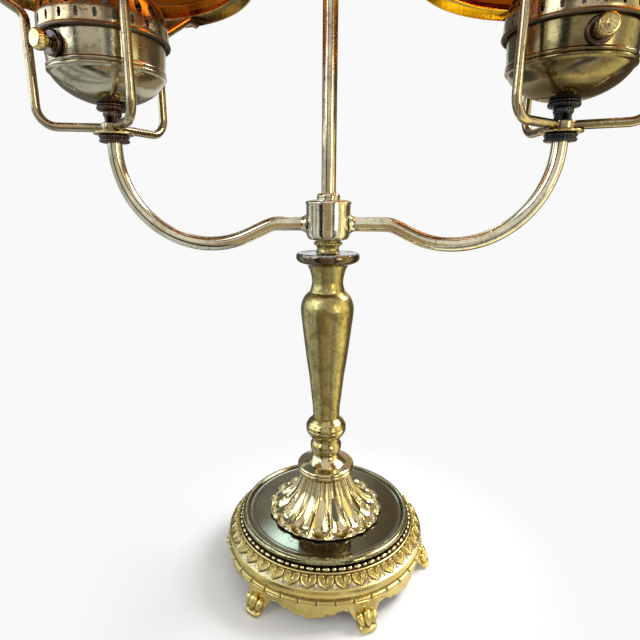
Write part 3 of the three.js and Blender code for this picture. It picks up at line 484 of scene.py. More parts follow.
feet = [foot_surface(BASE_TURN + k * TURN / FEET) for k in range(FEET)]
surfaces, hollows, chalks = zip(casting_surface(), *feet)
casting = make("base_casting_chased", gather(surfaces), satin_brass, crease=50,
               hollow=np.concatenate([np.ravel(h) for h in hollows]),
               chalk=np.concatenate([np.ravel(c) for c in chalks]))
fit(casting, "lamp", "gilt_casting", "base_casting")

# ---------------------------------------------------------------------------------------------
# Bead ring: a separate ring of long and short beads in satin brass, cast, then pressed into the
# ledge between the casting's ridge and the plate's lip.

LONG_BEAD = 4.7
SHORT_BEAD = 2.7
BEAD_WIDTH = 2.3
BEAD_SIDES = 12
BEAD_INSET = 1.5  # from the middle of the casting's ledge
BEAD_LEVEL = 0.62  # share of the ring's height


def bead_surface(radius, angle, height, length, width=BEAD_WIDTH, rise=BEAD_WIDTH):
    """One bead with round ends, its length along the ring."""
    polar = np.linspace(0, math.pi, 11)[:, None]
    around = circle(BEAD_SIDES)
    places = np.stack(np.broadcast_arrays(
        width / 2 * np.sin(polar) ** 0.7 * np.cos(around),
        -length / 2 * np.sign(np.cos(polar)) * np.abs(np.cos(polar)) ** 0.9,
        rise / 2 * np.sin(polar) ** 0.7 * np.sin(around)), axis=-1)
    return skin(places[:, ::-1] @ spin_about(angle) + [radius * math.cos(angle), radius * math.sin(angle), height])


bead_seat = seat("bead_ring")
bead_radius = base_radius - COVE_WIDTH - LEDGE_WIDTH / 2 - BEAD_INSET
bead_level = bead_seat.foot + bead_seat.height * BEAD_LEVEL
beads = []
for k in range(LEAVES):
    pitch = TURN / LEAVES
    beads.append(bead_surface(bead_radius, k * pitch, bead_level, LONG_BEAD))
    beads.append(bead_surface(bead_radius, (k + 0.5) * pitch, bead_level, SHORT_BEAD))
around = circle(8)
core = spun(np.stack([bead_radius + 0.9 * np.cos(around), bead_seat.foot + 1 + 0.95 * np.sin(around)], axis=1), 152)
# Painted shade: the core under the beads gets the full dark mark in bead_brass's near-black colour, so the gaps
# between beads are dark.
ground = np.concatenate([np.zeros(sum(len(corners) for corners, _ in beads)), np.ones(len(core[0]))])
beads.append(core)
bead_brass = metal("bead_brass", (0.66, 0.56, 0.3), (0.45, 0.34, 0.14), (0.03, 0.02, 0.012), tarnish_amount=0.3,
                   speck_amount=0.1, cloud_scale=60.0, polish=0.15, dullness=0.35)
bead_ring = make("bead_ring_cast", gather(beads), bead_brass, hollow=ground)
fit(bead_ring, "lamp", "gilt_casting", "bead_ring")

# ---------------------------------------------------------------------------------------------
# Plate: spun brass with a rolled lip, bronzed dark brown and rubbed bright again in places. It is
# clamped between the casting's deck and the bell.

PLATE_LIP = 3.4
PLATE_DISH = 1.5
PLATE_WALL = 1.8
BELL_FOOT = 40.8
TURNED_SIDES = 144


def bored(outer, bore=PIPE_HOLE, foot=None):
    """An outline of radius and height, from its outer line and the hole through the piece."""
    return np.vstack([outer, [(bore, outer[-1][1]), (bore, outer[0][1] if foot is None else foot)]])


def turned(name, outline, material, x=0.0, y=0.0, sides=TURNED_SIDES, closed=True, **marks):
    """A turned piece: an outline of radius and height, spun round the axis through x, y."""
    corners, faces = spun(outline, sides, closed)
    marks = {mark: np.repeat(values, sides) for mark, values in marks.items()}
    return make(name, (corners + [x, y, 0], faces), material, **marks)


bronzed_plate = metal("bronzed_plate", (0.085, 0.068, 0.03), (0.15, 0.125, 0.06), (0.03, 0.02, 0.01),
                      (0.36, 0.32, 0.16), tarnish_amount=0.5, speck_amount=0.25, cloud_scale=30.0, polish=0.08,
                      dullness=0.26, relief=0.00002, metallic=0.9, lacquer=0.35)

plate_seat = seat("base_plate")
lip = plate_seat.radius
plate_top = plate_seat.foot + plate_seat.height
lip_foot = DECK_HEIGHT + 3.3
dish = plate_top - PLATE_DISH
plate_outline = np.vstack([
    [(PIPE_HOLE, dish - PLATE_WALL), (lip - PLATE_LIP - 1, dish - PLATE_WALL),
     (lip - PLATE_LIP - 1, plate_seat.foot), (lip - PLATE_LIP, plate_seat.foot)],
    flow([(lip - 2.4, lip_foot), (lip - 0.6, lip_foot + 0.1), (lip, lip_foot + 1.2), (lip - 0.35, plate_top - 0.9),
          (lip - 1.4, plate_top - 0.15), (lip - 2.3, plate_top), (lip - 3.3, plate_top - 0.2),
          (lip - 4.1, plate_top - 0.9), (lip - 5, plate_top - 1.3), (lip - 6.5, dish), (lip - 9, dish),
          (lip - 14, dish), (BELL_FOOT, dish)], 6),
    [(PIPE_HOLE, dish + 0.3)],
])
rubbed = 0.9 * ease(lip - 3.9, lip - 3.2, plate_outline[:, 0]) * (plate_outline[:, 1] > lip_foot + 0.3)
plate = turned("base_plate_spun", plate_outline, bronzed_plate, sides=192, chalk=rubbed)
fit(plate, "lamp", "dark_plate", "base_plate")

# ---------------------------------------------------------------------------------------------
# Fluted bell: cast brass, polished. Sixteen hollow flutes with round lower ends run down between
# double ridges, and the ridges' ends make the foot a ring of lobes.

BELL_LINE = [(1, 0.005), (0.998, 0.02), (0.985, 0.035), (0.93, 0.065), (0.86, 0.11), (0.755, 0.195), (0.675, 0.285),
             (0.605, 0.395), (0.55, 0.5), (0.505, 0.61), (0.465, 0.74), (0.43, 0.87), (0.4, 1)]
FLUTES = 16
FLUTE_COLUMNS = 36
FLUTE_DEPTH = 2.7
FLUTE_SHARE = (0.43, 0.29)  # half a flute's width as a share of the pitch, at its round end and higher up
BELL_RIM = 0.9
RIDGE = 0.7
GROOVE = 1.0
BELL_TURN = math.radians(-2.3)

polished_brass = metal("polished_brass", (0.65, 0.55, 0.31), (0.34, 0.26, 0.11), (0.07, 0.045, 0.03),
                       tarnish_amount=0.5, speck_amount=0.35, cloud_scale=45.0, polish=0.1, dullness=0.3,
                       relief=0.00003, dents=0.00015)

bell_seat = seat("fluted_bell")
bell_points = [(r * (bell_seat.radius + 0.5), z * bell_seat.height) for r, z in BELL_LINE]
bell_rows = flow(bell_points, 7) + [0, bell_seat.foot]
flute_count = FLUTES * FLUTE_COLUMNS
flute_way = np.abs(np.arange(flute_count) % FLUTE_COLUMNS / FLUTE_COLUMNS - 0.5)  # 0 in the middle, 0.5 between two
flute_angles = (np.arange(flute_count) - FLUTE_COLUMNS / 2) / flute_count * TURN + BELL_TURN
steps_up = np.linalg.norm(np.diff(bell_rows, axis=0, prepend=bell_rows[:1]), axis=1)
run_up = np.cumsum(steps_up)[:, None]
pitch = bell_rows[:, :1] * TURN / FLUTES
half_flute = (FLUTE_SHARE[0] + (FLUTE_SHARE[1] - FLUTE_SHARE[0]) * ease(5, 26, run_up)) * pitch
end_half = FLUTE_SHARE[0] * pitch[0]
below_end = np.maximum(BELL_RIM + end_half - run_up, 0)
inside_flute = np.where(below_end > 0, end_half, half_flute) - np.hypot(flute_way * pitch, below_end)
deep = np.clip(inside_flute / half_flute, 0, 1)
fade_up = (pitch / pitch[0]) ** 0.8
hollowed = FLUTE_DEPTH * fade_up * (1 - (1 - deep) ** 2) * (0.72 + 0.28 * ease(2, 20, run_up))
ridge = RIDGE * fade_up**0.5 * np.exp(-(((inside_flute + 0.35) / 0.5) ** 2))
between = (0.5 - flute_way) * pitch
groove = (GROOVE * fade_up**0.5 * np.exp(-((between / 0.5) ** 2)) * (1 - ease(14, 26, run_up))
          * (0.3 + 0.7 * ease(3, 9, run_up)))
corner = 0.8 * ease(0.5, 2.6, -inside_flute) * (1 - ease(2, 8, run_up))
bell_ahead = ahead_of(bell_rows)
raised = ridge - hollowed - groove - corner
bell_radii = np.minimum(bell_rows[:, :1] + bell_ahead[:, 1:] * raised, bell_seat.radius + 0.7)
bell_heights = np.maximum(bell_rows[:, 1:] - bell_ahead[:, :1] * raised, bell_seat.foot + 0.02)
bell_grid = round_axis(bell_radii, bell_heights, flute_angles)
bell_top = bell_seat.foot + bell_seat.height
inner_line = np.array([(PIPE_HOLE, bell_top), (PIPE_HOLE, bell_top - 2), (bell_seat.radius * 0.3, bell_top - 2),
                       (bell_seat.radius * 0.8, bell_seat.foot)])
inner = round_axis(inner_line[:, :1], inner_line[:, 1:], flute_angles)
# Darker along the grooves between the flutes, most near the foot.
seam_darkening = 0.85 * np.exp(-((between / 0.4) ** 2)) * (1 - ease(14, 26, run_up)) * (0.4 + 0.6 * ease(3, 9, run_up))
bell_hollow = np.vstack([seam_darkening, np.zeros((len(inner_line), flute_count))])
bell_skin = skin(np.concatenate([bell_grid, inner]), loop=True)
bell = make("fluted_bell_cast", bell_skin, polished_brass, hollow=bell_hollow)
fit(bell, "lamp", "polished_brass", "fluted_bell")

# ---------------------------------------------------------------------------------------------
# Stem: the dish, the knop and the long turned column are brass turned on a lathe and threaded on
# the pipe. The dish and knop are polished; the column has aged to a speckled olive gold.

DISH_LINE = [(0.73, 0), (0.79, 0.03), (0.825, 0.075), (0.84, 0.11), (0.84, 0.11), (0.9, 0.12), (0.955, 0.16),
             (0.985, 0.215), (0.995, 0.28), (0.985, 0.34), (0.955, 0.365), (0.955, 0.365), (0.985, 0.4),
             (0.995, 0.44), (0.97, 0.5), (0.93, 0.53), (0.93, 0.53), (0.863, 0.56), (0.75, 0.615),
             (0.657, 0.69), (0.575, 0.77), (0.515, 0.84), (0.47, 0.92), (0.451, 1)]
KNOP_LINE = [(0.66, 0), (0.72, 0.04), (0.755, 0.09), (0.775, 0.15), (0.785, 0.2), (0.78, 0.26), (0.73, 0.32),
             (0.667, 0.37), (0.667, 0.37), (0.69, 0.385), (0.7, 0.415), (0.69, 0.445), (0.69, 0.445), (0.76, 0.475),
             (0.851, 0.52), (0.915, 0.56), (0.957, 0.606), (0.985, 0.65), (1, 0.69), (0.985, 0.715), (0.95, 0.73),
             (0.95, 0.73), (0.985, 0.745), (1, 0.775), (0.985, 0.81), (0.95, 0.835), (0.95, 0.835), (0.929, 0.861),
             (0.87, 0.905), (0.794, 0.942), (0.72, 0.975), (0.652, 1)]
COLUMN_LINE = [(0.5, 0), (0.52, 0.02), (0.534, 0.0695), (0.573, 0.129), (0.629, 0.212), (0.685, 0.296), (0.753, 0.37),
               (0.826, 0.4625), (0.882, 0.537), (0.933, 0.611), (0.978, 0.676), (1, 0.715), (0.995, 0.742),
               (0.965, 0.765), (0.904, 0.7915), (0.82, 0.812), (0.713, 0.8285), (0.713, 0.8285), (0.665, 0.835),
               (0.635, 0.852), (0.6, 0.872), (0.579, 0.893), (0.59, 0.915), (0.625, 0.945), (0.67, 0.97),
               (0.715, 0.985), (0.758, 1)]

aged_brass = metal("aged_brass", (0.46, 0.38, 0.155), (0.24, 0.17, 0.055), (0.06, 0.04, 0.02), tarnish_amount=0.7,
                   speck_amount=0.75, cloud_scale=100.0, polish=0.26, dullness=0.5, relief=0.00015, dents=0.0003)


def stem_piece(node, name, line, material, slot, sheen_above=1.0):
    """A turned piece on the pipe. Above a share of its height it gets a painted sheen: a pale painted reflection on
    its top.
    """
    place = seat(node)
    outline = bored(scaled(line, place.radius, place.height, place.foot), foot=place.foot)
    # Painted reflection: the top share is marked for the pale sheen colour.
    top_sheen = ease(sheen_above, sheen_above + 0.08, (outline[:, 1] - place.foot) / place.height)
    piece = turned(name, outline, material, chalk=top_sheen)
    return fit(piece, "lamp", slot, node)


yellow_brass = metal("yellow_brass", (0.47, 0.38, 0.165), (0.24, 0.17, 0.06), (0.06, 0.035, 0.02),
                     tarnish_amount=0.65, speck_amount=0.4, cloud_scale=70.0, polish=0.16, dullness=0.38,
                     relief=0.00004, dents=0.0003)
stem_piece("stem_dish", "stem_dish_turned", DISH_LINE, polished_brass, "polished_brass")
stem_piece("stem_knop", "stem_knop_turned", KNOP_LINE, yellow_brass, "polished_brass")
stem_piece("column", "column_turned", COLUMN_LINE, aged_brass, "aged_brass")

# ---------------------------------------------------------------------------------------------
# Cap disc and neck collar: a dark bronzed disc on the column, and on it a small polished collar
# with a rolled string of beads.

DISC_LINE = [(0.64, 0), (0.72, 0.06), (0.82, 0.14), (0.92, 0.26), (0.98, 0.42), (1, 0.58), (1, 0.74), (0.985, 0.88),
             (0.955, 0.98), (0.93, 1), (0.9, 0.97), (0.88, 0.95), (0.6, 0.94)]
COLLAR_LINE = [(0.86, 0), (0.8, 0.1), (0.75, 0.25), (0.76, 0.4), (0.82, 0.5), (0.82, 0.5), (0.86, 0.53), (0.88, 0.6),
               (0.88, 0.76), (0.86, 0.84), (0.8, 0.86), (0.8, 0.86), (0.78, 1)]
COLLAR_BEADS = 22
COLLAR_BEAD_WIDTH = 2.2

# The disc's pale bluish chalk-and-sheen colour lies on its top only: a painted reflection of the pale surround.
bronzed_disc = metal("bronzed_disc", (0.14, 0.1, 0.055), (0.08, 0.055, 0.03), (0.02, 0.012, 0.008),
                     (0.5, 0.53, 0.57), tarnish_amount=0.6, speck_amount=0.3, cloud_scale=80.0, polish=0.16,
                     dullness=0.4, relief=0.00003, lacquer=0.3)
stem_piece("cap_disc", "cap_disc_turned", DISC_LINE, bronzed_disc, "dark_disc", sheen_above=0.85)

collar_seat = seat("neck_collar")
collar_outer = scaled(COLLAR_LINE, collar_seat.radius, collar_seat.height, collar_seat.foot)
collar_parts = [spun(bored(collar_outer), sides=96)]
bead_pitch = collar_seat.radius * TURN / COLLAR_BEADS
bead_level = collar_seat.foot + collar_seat.height * 0.68
for k in range(COLLAR_BEADS):
    collar_parts.append(bead_surface(collar_seat.radius * 0.88, k * TURN / COLLAR_BEADS, bead_level,
                                     bead_pitch * 0.86, COLLAR_BEAD_WIDTH, COLLAR_BEAD_WIDTH))
collar = make("neck_collar_beaded", gather(collar_parts), aged_brass)
fit(collar, "lamp", "polished_brass", "neck_collar")

# ---------------------------------------------------------------------------------------------
# Hub: a turned brass drum, polished, that both arms enter from the sides and the centre rod from
# above, with a rolled top edge and a round nut on it.

HUB_LINE = [(0.6, -0.03), (0.72, -0.028), (0.82, -0.01), (0.89, 0.03), (0.935, 0.085), (0.952, 0.15), (0.955, 0.19),
            (0.958, 0.5), (0.96, 0.9), (0.96, 0.9), (0.985, 0.91), (1, 0.93), (0.995, 0.955), (0.96, 0.98),
            (0.88, 1.005), (0.7, 1.03), (0.5, 1.035)]
NUT_LINE = [(0.9, 0), (0.98, 0.04), (0.98, 0.3), (0.98, 0.3), (1, 0.4), (1, 0.6), (0.95, 0.8), (0.85, 0.96),
            (0.78, 1)]
ROD_HOLE = 4.9

hub_brass = metal("hub_brass", (0.7, 0.64, 0.47), (0.42, 0.34, 0.22), (0.1, 0.07, 0.05), tarnish_amount=0.6,
                  speck_amount=0.35, cloud_scale=60.0, polish=0.08, dullness=0.3, relief=0.00004, dents=0.0001)
stem_piece("hub", "hub_turned", HUB_LINE, hub_brass, "polished_brass")
nut_seat = seat("hub_nut")
nut_outer = scaled(NUT_LINE, nut_seat.radius, nut_seat.height, nut_seat.foot)
hub_nut = turned("hub_nut_turned", bored(nut_outer, ROD_HOLE), hub_brass, sides=96)
fit(hub_nut, "lamp", "polished_brass", "hub_nut")

# ---------------------------------------------------------------------------------------------
# Centre rod and finial: a brass tube screwed into the hub's top, with traces of mauve tarnish, and a
# turned finial at its end to lift the lamp by.

ROD_RADIUS = 4.6
ROD_BORE = 3.0
FINIAL_HOLE = 7.9
FINIAL_LINE = [(0.72, 0), (0.78, 0.04), (0.8, 0.1), (0.76, 0.15), (0.62, 0.2), (0.57, 0.27), (0.6, 0.33),
               (0.75, 0.38), (0.85, 0.42), (0.95, 0.48), (1, 0.56), (0.98, 0.66), (0.9, 0.76), (0.74, 0.84),
               (0.5, 0.91), (0.24, 0.97), (0, 1)]

rod_brass = metal("rod_brass", (0.62, 0.52, 0.33), (0.33, 0.25, 0.22), (0.1, 0.06, 0.05), tarnish_amount=0.7,
                  speck_amount=0.4, cloud_scale=38.0, polish=0.1, dullness=0.4, relief=0.00003)
rod_seat = seat("centre_rod")
rod_top = rod_seat.foot + rod_seat.height
rod_outer = [(ROD_RADIUS - 0.3, rod_seat.foot), (ROD_RADIUS, rod_seat.foot + 0.3), (ROD_RADIUS, rod_top - 0.3),
             (ROD_RADIUS - 0.3, rod_top)]
centre_rod = turned("centre_rod_tube", bored(rod_outer, ROD_BORE), rod_brass, sides=64)
fit(centre_rod, "lamp", "polished_brass", "centre_rod")

finial_seat = seat("finial")
finial_outer = scaled(FINIAL_LINE, finial_seat.radius, finial_seat.height, finial_seat.foot)
hole_top = finial_seat.foot + FINIAL_HOLE
finial_hole = [(0, hole_top), (ROD_HOLE, hole_top), (ROD_HOLE, finial_seat.foot)]
finial = turned("finial_turned", np.vstack([finial_hole, finial_outer]), polished_brass, sides=96, closed=False)
fit(finial, "lamp", "polished_brass", "finial")

# ---------------------------------------------------------------------------------------------
# Under the base: the threaded steel pipe that clamps the whole stem, its washer and hexagon nut,
# and a black plastic bushing in the pipe's mouth. These keep their machined shapes.

dark_steel = metal("dark_steel", (0.16, 0.13, 0.11), (0.09, 0.055, 0.035), (0.03, 0.018, 0.012), tarnish_amount=0.8,
                   speck_amount=0.6, cloud_scale=120.0, polish=0.25, dullness=0.6, relief=0.0001)


def carry_over(material, slot, *nodes):
    """CAD nodes whose shape is right as it is: only their finish changes."""
    for node in nodes:
        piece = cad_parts[node]
        piece.data.materials.clear()
        piece.data.materials.append(material)


def mottled(name, shades, scale, detail, mix, gloss, relief, distortion=0.0, glassy=()):
    """Plastic or glass: two shades in soft patches, which also set the roughness and the relief, a depth in
    metres. mix and gloss are what ramp takes. glassy is the transmission and the refractive index."""
    material, tree, shader, place = new_material(name)
    for label, value in zip(("Transmission Weight", "IOR"), glassy):
        shader.inputs[label].default_value = value
    patches = noise(tree, place, scale, detail, distortion)
    first, second = ((*shade, 1) for shade in shades)
    color = blend(tree, ramp(tree, patches, *mix), first, second)
    dress(tree, shader, color, ramp(tree, patches, *gloss), patches, relief)
    return material


bushing_plastic = mottled("bushing_plastic", [(0.012, 0.012, 0.012), (0.06, 0.055, 0.05)], 420.0, 5.0,
                          mix=(0.45, 0.75), gloss=(0.3, 0.7, 0.35, 0.6), relief=0.00004)
carry_over(dark_steel, "blackened_steel", "base_washer", "base_nut", "tie_pipe")
carry_over(bushing_plastic, "black_plastic", "cord_bushing")

# ---------------------------------------------------------------------------------------------
# Arms: two lengths of brass tube, bent by hand, so each has its own level part and its own dip. Each
# is soldered into the hub with a small fillet and ends upright under its font.

HEADS = {"left": -1, "right": 1}
ARM_REACH = 138
ARM_START = 11.7
ARM_SWEEP = 60
ARM_EASE_IN = 10
ARM_EASE_OUT = 23
ARM_STRAIGHT = {"left": 32, "right": 36.5}
ARM_DIP = {"left": 13.6, "right": 12.1}
ARM_LEVEL = 0.395  # share of the hub's height
TUBE_SIDES = 40

arm_brass = metal("arm_brass", (0.7, 0.65, 0.48), (0.48, 0.4, 0.25), (0.12, 0.06, 0.03), tarnish_amount=0.75,
                  speck_amount=0.35, cloud_scale=42.0, polish=0.09, dullness=0.36, relief=0.00003)


def tube_surface(path, radii, sides=TUBE_SIDES, turn=0.0):
    """A round bar along a path in an upright plane, closed at both ends."""
    path = np.asarray(path, float)
    ahead = ahead_of(path)
    side = np.stack([-ahead[:, 1], ahead[:, 0]], axis=1)
    around = circle(sides)
    radii = np.broadcast_to(radii, len(path))
    reach = radii[:, None] * np.cos(around)
    places = np.stack([path[:, :1] + side[:, :1] * reach, -radii[:, None] * np.sin(around),
                       path[:, 1:] + side[:, 1:] * reach], axis=-1)
    caps = np.repeat(places.mean(axis=1, keepdims=True), sides, axis=1)
    places = np.concatenate([caps[:1], places, caps[-1:]])
    return skin(places @ spin_about(turn))


def arc(centre, radius, start, end, steps):
    """Points along part of a circle, its start and end in degrees."""
    swing = np.radians(np.linspace(start, end, steps))
    return np.stack([centre[0] + radius * np.cos(swing), centre[1] + radius * np.sin(swing)], axis=1)


def arm_path(side, level, top):
    """The middle line of an arm: level out of the hub, down to its dip, then round and up to the font."""
    straight, low = ARM_STRAIGHT[side], level - ARM_DIP[side]
    sweep = ARM_REACH - ARM_SWEEP
    handles = np.array([(straight, level), (straight + ARM_EASE_IN, level), (sweep - ARM_EASE_OUT, low),
                        (sweep, low)])
    t = np.linspace(0, 1, 24)[:, None]
    drop = ((1 - t) ** 3 * handles[0] + 3 * (1 - t) ** 2 * t * handles[1] + 3 * (1 - t) * t**2 * handles[2]
            + t**3 * handles[3])
    rise = arc((sweep, low + ARM_SWEEP), ARM_SWEEP, -90, 0, 30)
    level_part = np.stack([np.linspace(ARM_START, straight, 8)[:-1], np.full(7, level)], axis=1)
    return np.vstack([level_part, drop, rise[1:], [(ARM_REACH, top)]])


hub_seat = seat("hub")
hub_side = hub_seat.radius
arm_level = hub_seat.foot + hub_seat.height * ARM_LEVEL
for side, way in HEADS.items():
    arm_seat = seat(f"{side}_arm")
    path = arm_path(side, arm_level, arm_seat.foot + arm_seat.height)
    turn = 0.0 if way > 0 else math.pi
    fillet = flow([(hub_side - 1.2, 6.3), (hub_side - 0.4, 6.1), (hub_side + 0.2, 5.5), (hub_side + 1.1, 5.0),
                   (hub_side + 2.4, ROD_RADIUS + 0.05)])
    fillet_path = np.stack([fillet[:, 0], np.full(len(fillet), arm_level)], axis=1)
    parts = [tube_surface(path, ROD_RADIUS, turn=turn), tube_surface(fillet_path, fillet[:, 1], turn=turn)]
    arm = make(f"{side}_arm_tube", gather(parts), arm_brass)
    fit(arm, "lamp", "polished_brass", f"{side}_arm")

# ---------------------------------------------------------------------------------------------
# Lock nut, brass washer, threaded nipple and font nut: what clamps a head on its arm's end. The
# nuts and the nipple are blackened steel, ribbed to be turned by hand.

RIBS = 26


def ribbed(name, node, line, depth, material):
    """A turned nut with upright ribs cut round it."""
    place = seat(node)
    ring = bored(scaled(line, place.radius, place.height, place.foot))
    around = circle(RIBS * 6)
    ribs = 1 - depth * (0.5 - 0.5 * np.cos(RIBS * around))
    wobble = np.where(ring[:, :1] > PIPE_HOLE, ribs, 1)
    grid = round_axis(ring[:, :1] * wobble, ring[:, 1:], around) + [place.x, place.y, 0]
    piece = make(name, skin(grid, loop=True), material, crease=60)
    return fit(piece, "lamp", "blackened_steel", node)


LOCKNUT_LINE = [(0.93, 0), (0.96, 0.06), (1, 0.16), (1, 0.3), (0.97, 0.38), (0.93, 0.44), (0.93, 0.54),
                (0.97, 0.6), (1, 0.68), (1, 0.84), (0.96, 0.94), (0.9, 1)]
FONT_NUT_LINE = [(0.57, 0), (0.6, 0.05), (0.6, 0.38), (0.6, 0.38), (0.75, 0.42), (0.9, 0.46), (0.97, 0.54),
                 (1, 0.66), (0.97, 0.78), (0.93, 0.86), (0.94, 0.93), (0.9, 1)]
THREAD_PITCH = 0.94
THREAD_DEPTH = 0.45
NIPPLE_BORE = 3.4

dark_nut = metal("dark_nut", (0.085, 0.06, 0.055), (0.2, 0.095, 0.05), (0.015, 0.01, 0.008), tarnish_amount=0.45,
                 speck_amount=0.6, cloud_scale=150.0, polish=0.16, dullness=0.5, relief=0.00006)
black_nut = metal("black_nut", (0.05, 0.052, 0.058), (0.03, 0.028, 0.03), (0.012, 0.01, 0.01), tarnish_amount=0.5,
                  speck_amount=0.5, cloud_scale=150.0, polish=0.14, dullness=0.42, relief=0.00006)
washer_brass = metal("washer_brass", (0.66, 0.52, 0.24), (0.36, 0.24, 0.09), (0.08, 0.05, 0.03), tarnish_amount=0.6,
                     speck_amount=0.5, cloud_scale=90.0, polish=0.14, dullness=0.4, relief=0.00004)

for side, finish in (("left", dark_nut), ("right", black_nut)):
    ribbed(f"{side}_arm_locknut_ribbed", f"{side}_arm_locknut", LOCKNUT_LINE, 0.035, finish)
    ribbed(f"{side}_font_nut_turned", f"{side}_font_nut", FONT_NUT_LINE, 0.03, finish)
    place = seat(f"{side}_shade_washer")
    half = place.height / 2
    rim = arc((place.radius - half, place.foot + half), half, -90, 90, 9)
    washer = turned(f"{side}_shade_washer_turned", bored(rim), washer_brass, place.x, place.y, sides=96)
    fit(washer, "lamp", "gilt_casting", f"{side}_shade_washer")
    place = seat(f"{side}_nipple")
    rows = np.arange(0, place.height, THREAD_PITCH / 4)[:, None]
    around = circle(48)
    waves = np.cos((rows / THREAD_PITCH - around / TURN) * TURN)
    thread = round_axis(place.radius - THREAD_DEPTH * (0.5 - 0.5 * waves), place.foot + rows, around)
    bore = round_axis(NIPPLE_BORE, place.foot + rows[[-1, 0]], around)
    nipple_skin = skin(np.concatenate([thread, bore]) + [place.x, place.y, 0], loop=True)
    nipple = make(f"{side}_nipple_threaded", nipple_skin, finish, crease=80)
    fit(nipple, "lamp", "blackened_steel", f"{side}_nipple")

# ---------------------------------------------------------------------------------------------
# Shade tripod: three brass rods brazed into a flat boss. Each runs out, turns up beside the font,
# slopes out and ends level under the shade ring's shelf.

TRIPOD_DEGREES = {"left": 40, "right": -51}
TRIPOD_ROD = 2.7
TRIPOD_REACH = 46
TRIPOD_BEND = 12
TRIPOD_TOP_BEND = 8
TRIPOD_SLOPE = 33  # degrees out to the ring
TRIPOD_SEAT = 7
BOSS_RADIUS = 7.6
RING_INSIDE = 90.5
SHADE_PLAY = 1.6

tripod_brass = metal("tripod_brass", (0.44, 0.36, 0.22), (0.24, 0.18, 0.12), (0.06, 0.04, 0.025), tarnish_amount=0.8,
                     speck_amount=0.45, cloud_scale=60.0, polish=0.14, dullness=0.42, relief=0.00004)


def head_turn(degrees):
    """Angles on the heads are counted from straight forward towards the right."""
    return math.radians(degrees - 90)


for side, way in HEADS.items():
    place = seat(f"{side}_shade_tripod")
    lower = place.foot + TRIPOD_ROD
    upper = place.foot + place.height - TRIPOD_ROD
    end = RING_INSIDE - SHADE_PLAY
    turn_in = (end - TRIPOD_SEAT, upper - TRIPOD_TOP_BEND)
    slope_start = TRIPOD_REACH + TRIPOD_TOP_BEND
    turn_out = (slope_start, turn_in[1] - (turn_in[0] - slope_start) * math.tan(math.radians(TRIPOD_SLOPE)))
    rod = np.vstack([
        [(PIPE_HOLE + 1.5, lower), (12, lower), (22, lower)],
        arc((TRIPOD_REACH - TRIPOD_BEND, lower + TRIPOD_BEND), TRIPOD_BEND, -90, 0, 14),
        [(TRIPOD_REACH, lower + (upper - lower) * share) for share in (0.3, 0.45, 0.6)],
        arc(turn_out, TRIPOD_TOP_BEND, 180, 90 + TRIPOD_SLOPE, 9),
        arc(turn_in, TRIPOD_TOP_BEND, 90 + TRIPOD_SLOPE, 90, 7),
        [(end - TRIPOD_SEAT / 2, upper), (end, upper)],
    ])
    parts = [tube_surface(rod, TRIPOD_ROD, 28, head_turn(TRIPOD_DEGREES[side]) + k * TURN / 3) for k in range(3)]
    boss_edge = arc((BOSS_RADIUS - 1, place.foot + 1), 1, -90, 0, 5)
    boss_top = arc((BOSS_RADIUS - 1, lower + TRIPOD_ROD - 1), 1, 0, 90, 5)
    parts.append(spun(bored(np.vstack([boss_edge, boss_top])), 48))
    corners, faces = gather(parts)
    tripod = make(f"{side}_shade_tripod_rods", (corners + [way * ARM_REACH, 0, 0], faces), tripod_brass)
    fit(tripod, "lamp", "gilt_casting", f"{side}_shade_tripod")

# ---------------------------------------------------------------------------------------------
# Shade ring: a rolled brass angle ring in dull brown, brazed on the ends of the three rods. The right ring
# is a brighter, yellower copy of the same brass: painted light, as if lit through its amber shade. Its shelf
# carries the shade and its upright band keeps it from sliding.

RING_WALL = 1.5
RING_DROP = 3.4
RING_SHELF = 7.5

lit_ring_brass = metal("lit_ring_brass", (0.95, 0.68, 0.05), (0.62, 0.38, 0.03), (0.1, 0.06, 0.02),
                        tarnish_amount=0.5, speck_amount=0.4, cloud_scale=40.0, polish=0.22, dullness=0.45,
                        relief=0.00006)
ring_brass = metal("ring_brass", (0.56, 0.38, 0.09), (0.2, 0.14, 0.07), (0.05, 0.035, 0.025), tarnish_amount=0.75,
                   speck_amount=0.4, cloud_scale=40.0, polish=0.18, dullness=0.5, relief=0.00004)

for side, way in HEADS.items():
    place = seat(f"{side}_shade_ring")
    ring_out, shelf_end = RING_INSIDE + RING_WALL, RING_INSIDE - RING_SHELF
    foot, top = place.foot, place.foot + place.height
    shelf = foot + RING_DROP
    outline = np.vstack([
        [(RING_INSIDE, foot), (RING_INSIDE + 0.3, foot)],
        flow([(ring_out - 0.4, foot), (ring_out + 0.1, foot + 0.4), (ring_out, foot + 1.4),
              (ring_out - 0.2, foot + 3.2), (ring_out, top - 1.6), (ring_out + 0.1, top - 0.6),
              (ring_out - 0.7, top), (RING_INSIDE, top - 0.5)]),
        [(RING_INSIDE, shelf + RING_WALL), (shelf_end + 0.4, shelf + RING_WALL)],
        arc((shelf_end + 0.6, shelf + RING_WALL / 2), RING_WALL / 2, 90, 270, 7),
        [(RING_INSIDE, shelf)],
    ])
    # Painted light: the right ring gets the brighter, lit copy of the ring brass.
    finish = lit_ring_brass if side == "right" else ring_brass
    ring = turned(f"{side}_shade_ring_rolled", outline, finish, way * ARM_REACH, sides=192)
    fit(ring, "lamp", "aged_brass", f"{side}_shade_ring")

# ---------------------------------------------------------------------------------------------
# Font: the oil-lamp style cup, spun from thin brass, dull olive on the left and browner on the right.
# A double bead runs round it where the bowl meets the upright wall.

